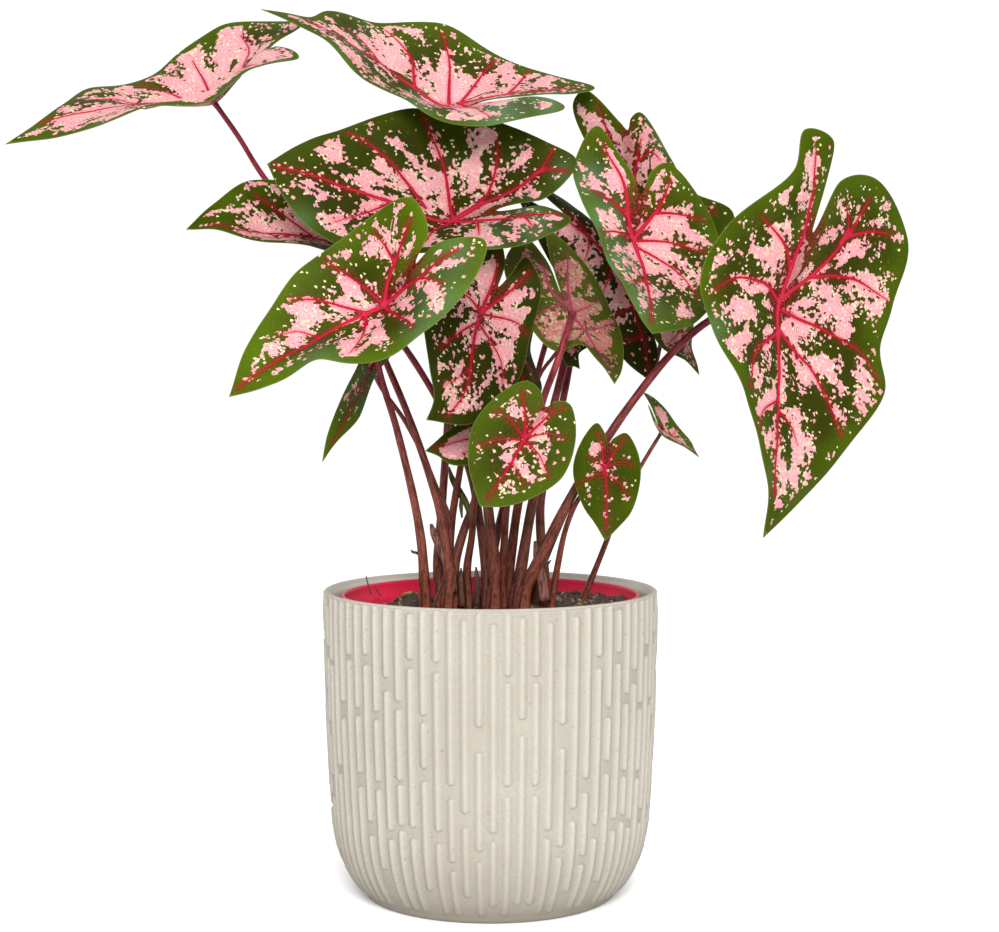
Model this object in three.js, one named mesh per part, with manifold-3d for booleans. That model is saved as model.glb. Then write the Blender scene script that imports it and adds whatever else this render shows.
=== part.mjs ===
// A pink and green caladium in its pot: a ribbed cover pot, the nursery pot inside it, potting soil, three
// tubers, and nineteen leaves, each a stalk and a heart-shaped blade. Millimetres, +Z up, front towards -Y.
// The origin is the centre of the cover pot's flat base.
import * as THREE from "three";
import { mergeVertices } from "three/addons/utils/BufferGeometryUtils.js";
import Module from "manifold-3d";

const wasm = await Module();
wasm.setup();

// ---------------------------------------------------------------- driving dimensions
const POT_HEIGHT = 132.7;
const POT_RIM_RADIUS = 72.4;
const POT_FOOT_RADIUS = 52;
const POT_WALL = 4;
const POT_FLOOR = 5.5;
const NURSERY_RIM_HEIGHT = POT_HEIGHT - 2;
const NURSERY_RIM_RADIUS = 64.6;
const NURSERY_FOOT_RADIUS = 46;
const NURSERY_WALL = 1.2;
const NURSERY_COLLAR = 8.5;
const DRAIN_HOLES = 6;
const DRAIN_HOLE_RADIUS = 4;
const DRAIN_RING_RADIUS = 28.5;
const SOIL_HEIGHT = 123.6;
const SOIL_BUMP = 1.6;
const TUBER_HEIGHT = 104;
const TUBER_TALL = 22;
const BLADE_THICKNESS = 0.8;
const CLEARANCE = 0.3;
const SOIL_CLEARANCE = 0.5;
const BORE_CLEARANCE = 0.8;
const JUNCTION_GAP = 0.45;

// How finely round and bent things are divided. A margin has its steps from each of its points to the next.
// Rings are shares of the blade's or the soil's size.
const POT_STEPS = 40;
const TUBER_STEPS = 20;
const HOLE_SIDES = 8;
const MARGIN_STEPS = 2;
const BLADE_RINGS = [0.5, 1];
const SOIL_RINGS = [1, 0.84, 0.66, 0.48, 0.3, 0.14];
const STALK_SIDES = 6;
const STALK_STEPS = 13;

// ---------------------------------------------------------------- colours
const FINISH = {
  ceramic: { color: 0xd9d3c6, roughness: 0.75, metalness: 0 },
  crimson: { color: 0xb3123a, roughness: 0.45, metalness: 0 },
  soil: { color: 0x2a1c12, roughness: 0.95, metalness: 0 },
  tuber: { color: 0x6b4a33, roughness: 0.9, metalness: 0 },
  stalk: { color: 0x7a3032, roughness: 0.5, metalness: 0 },
  pink: { color: 0xf08a98, roughness: 0.45, metalness: 0 },
  green: { color: 0x4f7a2c, roughness: 0.45, metalness: 0 },
};

const plant = new THREE.Group();

function addPiece(name, geometry, finish) {
  const mesh = new THREE.Mesh(geometry, new THREE.MeshStandardMaterial(FINISH[finish]));
  mesh.name = name;
  plant.add(mesh);
}

// ---------------------------------------------------------------- joining and cutting
function toSolid(geometry) {
  const bare = geometry.clone();
  bare.deleteAttribute("normal");
  bare.deleteAttribute("uv");
  const merged = mergeVertices(bare, 1e-4);
  return new wasm.Manifold(new wasm.Mesh({
    numProp: 3,
    vertProperties: new Float32Array(merged.attributes.position.array),
    triVerts: new Uint32Array(merged.index.array),
  }));
}

function toGeometry(solid) {
  const mesh = solid.getMesh();
  const geometry = new THREE.BufferGeometry();
  geometry.setAttribute("position", new THREE.BufferAttribute(new Float32Array(mesh.vertProperties), 3));
  geometry.setIndex(new THREE.BufferAttribute(new Uint32Array(mesh.triVerts), 1));
  return geometry;
}

// A solid turned about Z from a profile of [radius, height] points that starts and ends on the axis.
function turned(profile, steps) {
  const geometry = new THREE.LatheGeometry(profile.map(([r, z]) => new THREE.Vector2(r, z)), steps);
  return geometry.rotateX(Math.PI / 2);
}

// An upright round bar, for holes.
function bar(radius, bottom, top, x, y) {
  const geometry = new THREE.CylinderGeometry(radius, radius, top - bottom, HOLE_SIDES);
  return geometry.rotateX(Math.PI / 2).translate(x, y, (top + bottom) / 2);
}

// ---------------------------------------------------------------- the front elevation
// Leaves are laid out on a perspective front elevation, a grid of columns (to the right) and rows (down),
// as an eye in front of the plant sees them. A point is [column, row, depth]: where it stands on the grid,
// and its Y in mm. EYE is in mm, FOCAL and GRID_CENTRE in grid steps, EYE_TILT in radians below level.
const EYE = new THREE.Vector3(3.9, -919, 241);
const EYE_TILT = 0.06;
const FOCAL = 2134;
const GRID_CENTRE = { column: 499.5, row: 466 };

function place([column, row, depth]) {
  const across = (column - GRID_CENTRE.column) / FOCAL;
  const up = (GRID_CENTRE.row - row) / FOCAL;
  const ahead = Math.cos(EYE_TILT) + up * Math.sin(EYE_TILT);
  const rise = up * Math.cos(EYE_TILT) - Math.sin(EYE_TILT);
  const reach = (depth - EYE.y) / ahead;
  return new THREE.Vector3(EYE.x + reach * across, depth, EYE.z + reach * rise);
}

// ---------------------------------------------------------------- the shape of a leaf
// The pattern has the stalk's junction at 0, 0 and the tip 100 units below it. Left and right are those of
// somebody who looks at the leaf's upper face with the tip down. Only some leaves have ears.
const PATTERN = {
  junction: [0, 0],
  midrib: [0, -50],
  tip: [0, -100],
  leftPoint: [-15, -80],
  leftLow: [-36, -55],
  leftSide: [-55, -12],
  leftEar: [-57, 9],
  leftShoulder: [-53, 28],
  leftLobe: [-33, 56],
  leftInner: [-11, 38],
  sinus: [0, 12],
  rightInner: [11, 38],
  rightLobe: [33, 56],
  rightShoulder: [53, 28],
  rightEar: [57, 9],
  rightSide: [55, -12],
  rightLow: [36, -55],
  rightPoint: [15, -80],
};
const EARS = ["leftEar", "rightEar"];
const MARGIN = ["tip", "leftPoint", "leftLow", "leftSide", "leftEar", "leftShoulder", "leftLobe",
  "leftInner", "sinus", "rightInner", "rightLobe", "rightShoulder", "rightEar", "rightSide", "rightLow",
  "rightPoint", "tip"];

// Solves a square system for several right-hand sides by elimination with row swaps.
function solve(matrix, sides) {
  const rows = matrix.map((row, i) => [...row, ...sides[i]]);
  const n = rows.length;
  for (let k = 0; k < n; k += 1) {
    let best = k;
    for (let i = k + 1; i < n; i += 1) {
      if (Math.abs(rows[i][k]) > Math.abs(rows[best][k])) best = i;
    }
    [rows[k], rows[best]] = [rows[best], rows[k]];
    for (let i = 0; i < n; i += 1) {
      if (i !== k) {
        const factor = rows[i][k] / rows[k][k];
        for (let j = k; j < rows[i].length; j += 1) rows[i][j] -= factor * rows[k][j];
      }
    }
  }
  return rows.map((row, i) => row.slice(n).map((value) => value / row[i]));
}

// A thin-plate spline: the smoothest function of [x, y] that has the given values at the given spots.
function splineThrough(spots, values) {
  const bend = (dx, dy) => {
    const square = dx * dx + dy * dy;
    return square > 0 ? square * Math.log(square) : 0;
  };
  const terms = ([x, y]) => [...spots.map(([u, v]) => bend(x - u, y - v)), 1, x, y];
  const matrix = spots.map(terms);
  for (const row of [spots.map(() => 1), spots.map(([x]) => x), spots.map(([, y]) => y)]) {
    matrix.push([...row, 0, 0, 0]);
  }
  const none = values[0].map(() => 0);
  const weights = solve(matrix, [...values, none, none, none]);
  return (spot) => {
    const parts = terms(spot);
    return none.map((_, k) => parts.reduce((total, part, i) => total + part * weights[i][k], 0));
  };
}

// A blade's sheet stands over its mean plane, which is square to the area that its margin encloses and has
// its y axis from the tip to the junction. Its height over the plane is a spline through the landmarks.
// A point of the margin that has no landmark follows the pattern.
function sheetThrough(landmarks) {
  const names = Object.keys(landmarks);
  const junction = place(landmarks.junction);
  const arms = Object.fromEntries(names.map((name) => [name, place(landmarks[name]).sub(junction)]));
  const ring = MARGIN.filter((name) => names.includes(name));
  const zAxis = new THREE.Vector3();
  ring.slice(1).forEach((name, i) => zAxis.add(arms[name].clone().cross(arms[ring[i]])));
  zAxis.normalize();
  const yAxis = arms.tip.clone().negate().projectOnPlane(zAxis).normalize();
  const xAxis = yAxis.clone().cross(zAxis);

  const flat = (name) => [arms[name].dot(xAxis), arms[name].dot(yAxis)];
  const height = splineThrough(names.map(flat), names.map((name) => [arms[name].dot(zAxis)]));
  const follow = splineThrough(names.map((name) => PATTERN[name]), names.map(flat));
  const corners = MARGIN.filter((name) => names.includes(name) || !EARS.includes(name))
    .map((name) => (names.includes(name) ? flat(name) : follow(PATTERN[name])));
  const margin = new THREE.CatmullRomCurve3(corners.map(([x, y]) => new THREE.Vector3(x, y, 0)), false,
    "centripetal");

  const reach = 0.3;
  const slope = (dx, dy, x, y) =>
    (height([x + dx * reach, y + dy * reach])[0] - height([x - dx * reach, y - dy * reach])[0]) / (2 * reach);
  return {
    margin,
    stretches: corners.length - 1,
    point: (x, y) => junction.clone().addScaledVector(xAxis, x).addScaledVector(yAxis, y)
      .addScaledVector(zAxis, height([x, y])[0]),
    normal: (x, y) => zAxis.clone().addScaledVector(xAxis, -slope(1, 0, x, y))
      .addScaledVector(yAxis, -slope(0, 1, x, y)).normalize(),
  };
}

// A blade has an upper and a lower wall, fans of triangles round the junction that are divided alike, so
// that they stay parallel where the blade bends, and an edge that closes them.
function bladeGeometry(sheet) {
  const steps = sheet.stretches * MARGIN_STEPS;
  const outline = [...Array(steps).keys()].map((step) => sheet.margin.getPoint(step / steps));
  const spots = [new THREE.Vector3(0, 0, 0)];
  for (const share of BLADE_RINGS) {
    spots.push(...outline.map((spot) => spot.clone().multiplyScalar(share)));
  }
  const walls = [BLADE_THICKNESS / 2, -BLADE_THICKNESS / 2].flatMap((height) =>
    spots.map(({ x, y }) => sheet.point(x, y).addScaledVector(sheet.normal(x, y), height)));

  const faces = [];
  const under = spots.length;
  for (let step = 0; step < steps; step += 1) {
    const next = (step + 1) % steps;
    const upper = [[0, 1 + next, 1 + step]];
    for (let inner = 1; inner + steps < under; inner += steps) {
      const outer = inner + steps;
      upper.push([inner + step, outer + next, outer + step]);
      upper.push([inner + step, inner + next, outer + next]);
    }
    faces.push(...upper, ...upper.map(([a, b, c]) => [a + under, c + under, b + under]));
    const edge = under - steps;
    faces.push([edge + step, edge + next, edge + next + under]);
    faces.push([edge + step, edge + next + under, edge + step + under]);
  }

  const geometry = new THREE.BufferGeometry().setFromPoints(walls);
  geometry.setIndex(faces.flat());
  geometry.computeVertexNormals();
  return geometry;
}

// A stalk is an upright round bar, bent along a curve and thinned towards its top.
function stalkGeometry(points, baseRadius, topRadius) {
  const curve = new THREE.CatmullRomCurve3(points, false, "centripetal");
  const frames = curve.computeFrenetFrames(STALK_STEPS, false);
  const rod = new THREE.CylinderGeometry(topRadius, baseRadius, 1, STALK_SIDES, STALK_STEPS);
  const spots = rod.attributes.position;
  for (let i = 0; i < spots.count; i += 1) {
    const along = spots.getY(i) + 0.5;
    const step = Math.round(along * STALK_STEPS);
    const point = curve.getPointAt(step / STALK_STEPS)
      .addScaledVector(frames.normals[step], spots.getZ(i))
      .addScaledVector(frames.binormals[step], spots.getX(i));
    spots.setXYZ(i, point.x, point.y, point.z);
  }
  return rod;
}

// ---------------------------------------------------------------- the leaves
// blade: the places of the pattern's points, on the front elevation. Points that are left out follow.
// foot: the stalk's X and Y in the soil, in mm. route: the stalk's points, from the soil up, on the front
// elevation. thick: the stalk's radius at its foot and under the blade, in mm.
const LEAVES = {
  upper_left: {
    finish: "pink",
    blade: {
      junction: [214, 102, -8], midrib: [110, 108, -22], tip: [5, 144, -40],
      leftPoint: [42, 120, -30], leftLow: [88, 89.5, -4], leftSide: [138, 82, 8],
      leftEar: [178, 54.5, 26], leftShoulder: [224, 25.5, 28], leftLobe: [303, 22, 14],
      leftInner: [272, 46, 2], sinus: [243, 71, -9], rightInner: [274, 45.5, -22],
      rightLobe: [299, 58, -36], rightShoulder: [248, 70.5, -49], rightEar: [208, 102, -54],
      rightSide: [145, 106.5, -46], rightLow: [98, 127, -44], rightPoint: [50, 139, -42],
    },
    foot: [-2.5, 0], thick: [1.7, 1],
    route: [[486, 575, 1], [481, 530, 7], [472, 480, 14], [458, 440, 18], [433, 392, 20], [403, 345, 20],
      [335, 258, 22], [266, 180, 14], [238, 136, 4]],
  },
  crown: {
    finish: "pink",
    blade: {
      junction: [449, 108, 6], midrib: [378, 62, 6], tip: [261, 9, -4],
      leftPoint: [306, 17.5, 6], leftLow: [328, 11, 20], leftSide: [376, 22, 33],
      leftEar: [442, 24, 38], leftShoulder: [500, 56, 34], leftLobe: [595, 88, 12],
      leftInner: [566, 95, 3], sinus: [476, 105, 1], rightInner: [532, 97, -14],
      rightLobe: [565, 107, -26], rightShoulder: [530, 117.5, -40], rightEar: [452, 124, -44],
      rightSide: [405, 99, -34], rightLow: [366, 81, -23], rightPoint: [325, 41, -12],
    },
    foot: [1.5, -10], thick: [2.1, 1.2],
    route: [[494, 560, -11], [488, 507, -12], [481, 400, -9], [466, 250, 2], [457, 180, 5], [452, 130, 6]],
  },
  broad_centre: {
    finish: "pink",
    blade: {
      junction: [453, 221, -34], midrib: [360, 192, -40], tip: [267, 164, -52],
      leftPoint: [294, 147, -44], leftLow: [332, 132, -30], leftSide: [412, 108, -16],
      leftEar: [452, 119, -14], leftShoulder: [494, 120, -13], leftLobe: [577, 160, -18],
      leftInner: [540, 200, -30], sinus: [496, 211, -36], rightInner: [540, 205, -46],
      rightLobe: [571, 220, -56], rightShoulder: [530, 243, -66], rightSide: [452, 251, -68],
      rightLow: [333, 243, -60], rightPoint: [288, 205, -56],
    },
    foot: [-22, 9.5], thick: [1.8, 1.1],
    route: [[438, 560, 8], [441, 520, 5], [445, 463, 0], [450, 380, -10], [454, 300, -20]],
  },
  left_rear: {
    finish: "pink",
    blade: {
      junction: [338, 243, -20], midrib: [264, 232, -26], tip: [186, 229, -34],
      leftPoint: [211, 206, -28], leftLow: [248, 180.5, -18], leftSide: [322, 184, -4],
      leftLobe: [398, 214, -2], sinus: [352, 242, -22], rightLobe: [380, 258, -40],
      rightSide: [308, 246, -46], rightLow: [255, 240.5, -42], rightPoint: [215, 230, -38],
    },
    foot: [-18.5, -9], thick: [1.8, 1.1],
    route: [[449, 570, -9], [445, 540, -9], [437, 500, -10], [410, 420, -12], [386, 362, -14],
      [355, 290, -12]],
  },
  front_left: {
    finish: "pink",
    blade: {
      junction: [384, 306, -76], midrib: [308, 344, -86], tip: [229, 397, -98],
      leftPoint: [244, 351, -92], leftLow: [264, 318, -84], leftSide: [297, 271, -77],
      leftShoulder: [364, 221.5, -76], leftLobe: [412, 197.5, -84], leftInner: [428, 234, -88],
      sinus: [416, 264, -87], rightInner: [437, 244, -94], rightLobe: [485, 240, -100],
      rightShoulder: [470, 287, -108], rightEar: [428, 328, -112], rightSide: [372, 364, -114],
      rightLow: [319, 359.5, -108], rightPoint: [278, 382, -103],
    },
    foot: [-28, -6], thick: [1.8, 1.1],
    route: [[424, 575, -8], [421, 540, -10], [414, 500, -14], [397, 430, -26], [378, 362, -44]],
  },
  centre_hanging: {
    finish: "pink",
    blade: {
      junction: [480, 314, -50], midrib: [468, 375, -62], tip: [426, 420, -76],
      leftPoint: [433, 400, -76], leftLow: [430, 365, -74], leftSide: [424, 310, -66],
      leftShoulder: [455, 265, -54], leftLobe: [500, 244, -44], leftInner: [505, 262, -45],
      sinus: [498, 287, -48.5], rightInner: [511, 273.5, -46], rightLobe: [526, 257.5, -42],
      rightShoulder: [541, 283, -46], rightSide: [533, 326, -42], rightLow: [516, 385, -46],
      rightPoint: [470, 424, -66],
    },
    foot: [-14, 8], thick: [1.6, 1],
    route: [[450, 560, 6], [452, 520, 2], [460, 470, -4], [468, 420, -14], [477, 360, -30]],
  },
  turned_back: {
    finish: "pink",
    blade: {
      junction: [572, 314, -32], midrib: [594, 350, -40], tip: [615, 384, -54],
      rightPoint: [604, 368, -52], rightLow: [584, 345, -45.5], rightSide: [556, 351, -44],
      rightShoulder: [504, 270, -28.9], rightLobe: [518, 238, -15.6], rightInner: [545, 262, -17.8],
      sinus: [562, 296, -25.2], leftInner: [551, 252, -13.3], leftLobe: [551, 231, -6.6],
      leftShoulder: [584, 262, -9], leftSide: [612, 312, -20], leftLow: [624, 347, -33],
      leftPoint: [621, 372, -46],
    },
    foot: [8, 4], thick: [1.8, 1.2],
    route: [[509, 575, 3], [513, 540, 0], [518, 505, -6], [530, 450, -26], [543, 400, -48],
      [558, 360, -62], [567, 332, -54]],
  },
  tall_right: {
    finish: "pink",
    blade: {
      junction: [633, 240, -24], midrib: [645, 288, -48], tip: [653, 333, -78],
      leftPoint: [640, 318, -76], leftLow: [620, 280, -58], leftSide: [594, 226, -36],
      leftShoulder: [573, 172, -20], leftLobe: [597, 126, -6], leftInner: [627, 166, -12],
      sinus: [641, 194, -19], rightInner: [651, 172, -12], rightLobe: [667, 163, -8],
      rightShoulder: [712, 220, -10], rightSide: [724, 282, -26], rightLow: [694, 324, -50],
      rightPoint: [672, 331, -67],
    },
    foot: [11, -4], thick: [2, 1.2],
    route: [[521, 570, -3], [533, 500, 0], [555, 400, 6], [572, 340, 14], [594, 295, 22], [614, 262, 20],
      [626, 248, 2]],
  },
  far_right: {
    finish: "pink",
    blade: {
      junction: [779, 303, -42], midrib: [777, 400, -52], tip: [763, 538, -58],
      leftPoint: [768, 486, -63], leftLow: [744, 390, -72], leftSide: [700, 288, -72],
      leftEar: [726, 227, -67], leftShoulder: [794, 169, -55], leftLobe: [805, 129, -49],
      leftInner: [835, 141.5, -43.5], sinus: [812, 233, -42], rightInner: [840, 181, -33],
      rightLobe: [878, 180, -19], rightShoulder: [908, 240, -8], rightEar: [892, 307, -10],
      rightSide: [880, 346, -14], rightLow: [885, 390, -21], rightPoint: [833, 465, -41],
    },
    foot: [14, -13], thick: [2.1, 1.3],
    route: [[525, 592, -13], [541, 556, -15], [575, 490, -18], [608, 437, -20], [630, 405, -20],
      [670, 355, -20], [707, 322, -22], [750, 303, -30]],
  },
  rear_right: {
    finish: "pink",
    blade: {
      junction: [634, 195, 14], midrib: [668, 252, 8], tip: [702, 316, 2],
      leftLow: [640, 262, 18], leftSide: [597, 166, 26], leftShoulder: [573, 104, 25],
      leftLobe: [585, 90, 22], leftInner: [620, 122, 16], sinus: [628, 130, 14],
      rightInner: [631, 118, 12], rightLobe: [640, 112, 10], rightShoulder: [672, 160, 6],
      rightEar: [690, 190, 6], rightSide: [733, 212, 12], rightLow: [722, 270, 8],
    },
    foot: [23, 1], thick: [1.8, 1.1],
    route: [[544, 575, 3], [541, 540, 6], [541, 500, 8], [563, 400, 13], [575, 345, 22], [600, 285, 36],
      [618, 240, 38]],
  },
  dark_edge: {
    finish: "green",
    blade: {
      junction: [588, 236, 0], midrib: [622, 306, -2], tip: [648, 380, -10],
      leftPoint: [628, 364, -8], leftLow: [600, 326, 0], leftSide: [558, 276, 4],
      leftShoulder: [538, 240, 2], leftLobe: [518, 196, -7], leftInner: [547, 209, -1],
      sinus: [564, 214, -1], rightInner: [546, 197, 3], rightLobe: [530, 182, 10],
      rightShoulder: [575, 208, 11], rightSide: [611, 250, 9], rightLow: [648, 320, 3],
      rightPoint: [658, 357, -4],
    },
    foot: [-2, 10], thick: [1.6, 1],
    route: [[490, 572, 12], [505, 500, 18], [528, 420, 22], [541, 360, 24], [566, 284, 24], [580, 252, 14]],
  },
  small_rear: {
    finish: "pink",
    blade: {
      junction: [668, 290, 26], midrib: [683, 333, 16], tip: [699, 375, 8],
      leftPoint: [686, 361, 7], leftLow: [664, 350, 9], leftSide: [644, 318, 20],
      leftLobe: [640, 262, 32], sinus: [665, 282, 28], rightLobe: [682, 260, 36],
      rightSide: [694, 304, 32], rightLow: [692, 345, 20], rightPoint: [696, 362, 13],
    },
    foot: [19, 10], thick: [1.2, 0.8],
    route: [[535, 585, 11], [545, 560, 14], [562, 520, 12], [585, 475, 2], [610, 437, -6], [632, 405, -6],
      [650, 380, 0], [662, 335, 22]],
  },
  folded_right: {
    finish: "green",
    blade: {
      junction: [663, 430, -6], midrib: [682, 443, -10], tip: [699, 457, -14],
      leftLow: [684, 447, -18], leftSide: [664, 437, -16], leftLobe: [648, 405, -12],
      sinus: [659, 425, -6], rightLobe: [644, 393, 0], rightSide: [667, 411, 4],
      rightLow: [690, 440, -4],
    },
    foot: [40, 12], thick: [1.1, 0.7],
    route: [[589, 585, 11], [607, 540, 8], [620, 505, 4], [641, 466, 0]],
  },
  small_heart_right: {
    finish: "green",
    blade: {
      junction: [604, 470, -34], midrib: [606, 502, -38], tip: [605, 541, -40],
      leftPoint: [595, 524, -38], leftLow: [583, 506, -34], leftSide: [573, 470, -30],
      leftShoulder: [582, 440, -28], leftLobe: [597, 423, -28], leftInner: [604, 431, -30],
      sinus: [609, 443, -31], rightInner: [614, 438, -30], rightLobe: [626, 433, -28],
      rightShoulder: [637, 450, -28], rightSide: [641, 474, -30], rightLow: [632, 511, -34],
      rightPoint: [617, 529, -38],
    },
    foot: [26, -7], thick: [1.2, 0.8],
    route: [[556, 575, -9], [566, 528, -14], [578, 500, -19]],
  },
  heart_front: {
    finish: "green",
    blade: {
      junction: [524, 440, -74], midrib: [504, 472, -81], tip: [480, 506, -90],
      leftPoint: [474, 488, -87], leftLow: [468, 463, -80], leftSide: [473, 425, -72],
      leftShoulder: [499, 394, -66], leftLobe: [526, 381, -63], leftInner: [540, 390, -64],
      sinus: [546, 407, -66], rightInner: [556, 401, -66], rightLobe: [570, 404, -66],
      rightShoulder: [576, 436, -70], rightSide: [562, 478, -79], rightLow: [528, 500, -86],
      rightPoint: [502, 507, -89],
    },
    foot: [5.5, -3.5], thick: [1.3, 0.9],
    route: [[502, 570, -7], [504, 540, -12], [506, 507, -24], [514, 470, -44]],
  },
  low_left: {
    finish: "green",
    blade: {
      junction: [492, 434, -36], midrib: [460, 440, -44], tip: [425, 451, -50],
      leftLow: [449, 430, -44], leftSide: [482, 413, -34], leftLobe: [516, 414, -22],
      sinus: [500, 433, -34], rightLobe: [516, 452, -38], rightSide: [488, 463, -46],
      rightLow: [452, 465, -51],
    },
    foot: [-9.5, 1], thick: [1.5, 0.9],
    route: [[467, 570, 1], [472, 535, -2], [474, 500, -10], [480, 465, -22]],
  },
  folded_left: {
    finish: "green",
    blade: {
      junction: [372, 366, -30], midrib: [350, 407, -40], tip: [322, 462, -50],
      leftPoint: [327, 436, -50], leftLow: [340, 403, -49], leftSide: [358, 364, -43],
      leftLobe: [371, 336, -28], sinus: [378, 360, -29], rightLobe: [392, 345, -22],
      rightSide: [379, 370, -22], rightLow: [359, 417, -34], rightPoint: [338, 441, -44],
    },
    foot: [-23, 0], thick: [1.2, 0.8],
    route: [[447, 575, 0], [450, 540, -2], [447, 512, -4], [438, 492, -6], [422, 453, -8], [403, 418, -8],
      [384, 392, -8], [377, 380, -14]],
  },
  shaded_centre: {
    finish: "green",
    blade: {
      junction: [518, 336, -22], midrib: [524, 376, -28], tip: [530, 418, -32],
      leftLow: [509, 392, -35], leftSide: [494, 346, -30], leftLobe: [500, 302, -16],
      sinus: [518, 330, -20], rightLobe: [532, 312, -12], rightSide: [530, 350, -13],
      rightLow: [542, 386, -20],
    },
    foot: [-16, -2.5], thick: [1.8, 1],
    route: [[455, 565, 0], [464, 530, 3], [475, 500, 5], [492, 440, 2], [508, 380, -6]],
  },
  small_dark: {
    finish: "green",
    blade: {
      junction: [572, 332, -14], midrib: [574, 350, -18], tip: [580, 369, -20],
      leftLow: [567, 366, -24], leftSide: [560, 345, -22], leftLobe: [560, 322, -12],
      sinus: [573, 326, -12], rightLobe: [588, 324, -8], rightSide: [591, 344, -10],
      rightLow: [579, 354, -17],
    },
    foot: [5, 12], thick: [1.1, 0.7],
    route: [[504, 560, 8], [511, 480, 5], [530, 405, 2], [541, 373, 0], [553, 357, -2]],
  },
};

// ---------------------------------------------------------------- cover pot, nursery pot, soil, tubers
function coverPot() {
  const outside = [
    [POT_FOOT_RADIUS, 0], [54.3, 1.2], [59, 5.7], [62, 10.2], [66.1, 19.2], [68.2, 28], [70.1, 50],
    [71.7, 80.6], [POT_RIM_RADIUS + 0.2, 111], [POT_RIM_RADIUS + 0.6, 126],
    [POT_RIM_RADIUS, POT_HEIGHT - 1.2], [POT_RIM_RADIUS - 1.2, POT_HEIGHT],
  ];
  const inner = POT_RIM_RADIUS - POT_WALL;
  const inside = [
    [inner + 1, POT_HEIGHT], [inner, POT_HEIGHT - 1.4], [inner, 111], [66.2, 60], [62.8, 26], [56, 12],
    [49, POT_FLOOR],
  ];
  return turned([[0, 0], ...outside, ...inside, [0, POT_FLOOR]], POT_STEPS);
}

// The nursery pot is a cone that widens upward, with a collar round its rim. It stands on the cover pot's
// floor.
const NURSERY_BOTTOM = POT_FLOOR + CLEARANCE;
const NURSERY_FLOOR = NURSERY_BOTTOM + NURSERY_WALL;

function nurseryOuterRadius(z) {
  const share = (z - NURSERY_BOTTOM) / (NURSERY_RIM_HEIGHT - NURSERY_BOTTOM);
  return NURSERY_FOOT_RADIUS + (NURSERY_RIM_RADIUS - 1 - NURSERY_FOOT_RADIUS) * share;
}

function nurseryInnerRadius(z) {
  return nurseryOuterRadius(z) - NURSERY_WALL;
}

function nurseryPot() {
  const rim = NURSERY_RIM_RADIUS;
  const top = NURSERY_RIM_HEIGHT;
  const under = top - NURSERY_COLLAR;
  let pot = toSolid(turned([
    [0, NURSERY_BOTTOM], [NURSERY_FOOT_RADIUS, NURSERY_BOTTOM], [nurseryOuterRadius(under), under],
    [rim, under + 0.4], [rim, top - 0.4], [rim - 0.4, top], [nurseryInnerRadius(top), top],
    [nurseryInnerRadius(NURSERY_FLOOR), NURSERY_FLOOR], [0, NURSERY_FLOOR],
  ], POT_STEPS));
  for (let hole = 0; hole < DRAIN_HOLES; hole += 1) {
    const angle = (hole / DRAIN_HOLES) * 2 * Math.PI;
    const drill = bar(DRAIN_HOLE_RADIUS, NURSERY_BOTTOM - 1, NURSERY_FLOOR + 1,
      DRAIN_RING_RADIUS * Math.cos(angle), DRAIN_RING_RADIUS * Math.sin(angle));
    pot = pot.subtract(toSolid(drill));
  }
  return toGeometry(pot);
}

// The tubers lie side by side under the stalks. Each has its centre's X and Y, and its half widths along
// them. The profile is in shares of the half width and of the height, down from the top.
const TUBERS = [
  { x: -22, y: 0, wide: 11.5, deep: 15 },
  { x: 3, y: -1, wide: 13, deep: 17 },
  { x: 30.2, y: 3, wide: 13.5, deep: 15 },
];
const TUBER_PROFILE = [[0, -1], [0.45, -0.95], [0.82, -0.72], [1, -0.4], [0.97, -0.15], [0.8, 0], [0, 0]];

function tuber({ x, y, wide, deep }, spare) {
  const bun = turned(TUBER_PROFILE, TUBER_STEPS);
  bun.scale(wide + spare, deep + spare, TUBER_TALL + 2 * spare);
  return bun.translate(x, y, TUBER_HEIGHT + spare);
}

// The soil's uneven top: two waves of different lengths.
function soilTop(x, y) {
  const coarse = Math.sin(x * 0.16 + 1.3) * Math.cos(y * 0.19 - 0.4);
  const fine = Math.sin(x * 0.41 - y * 0.33) * Math.cos(y * 0.47 + x * 0.12);
  return SOIL_HEIGHT + SOIL_BUMP * (0.6 * coarse + 0.4 * fine);
}

function pottingSoil() {
  const floor = NURSERY_FLOOR + CLEARANCE;
  const edge = (z) => nurseryInnerRadius(z) - SOIL_CLEARANCE;
  const body = turned([
    [0, floor], [edge(floor), floor],
    ...SOIL_RINGS.map((share) => [edge(SOIL_HEIGHT - SOIL_BUMP) * share, SOIL_HEIGHT]), [0, SOIL_HEIGHT],
  ], POT_STEPS);
  const points = body.attributes.position;
  for (let i = 0; i < points.count; i += 1) {
    if (points.getZ(i) > SOIL_HEIGHT - 1) points.setZ(i, soilTop(points.getX(i), points.getY(i)));
  }
  let soil = toSolid(body);
  for (const lump of TUBERS) soil = soil.subtract(toSolid(tuber(lump, SOIL_CLEARANCE)));
  for (const { foot, thick } of Object.values(LEAVES)) {
    const bore = bar(thick[0] + BORE_CLEARANCE, TUBER_HEIGHT - 1, POT_HEIGHT, ...foot);
    soil = soil.subtract(toSolid(bore));
  }
  return toGeometry(soil);
}

// ---------------------------------------------------------------- putting it together
addPiece("cover_pot", coverPot(), "ceramic");
addPiece("nursery_pot", nurseryPot(), "crimson");
addPiece("potting_soil", pottingSoil(), "soil");
TUBERS.forEach((lump, i) => addPiece(`tuber_${i + 1}`, tuber(lump, 0), "tuber"));

// A stalk stands upright over its foot as far as these heights, then takes its route to the blade.
const UPRIGHT = [TUBER_HEIGHT + CLEARANCE, SOIL_HEIGHT - 6, SOIL_HEIGHT + 1.5];

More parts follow.
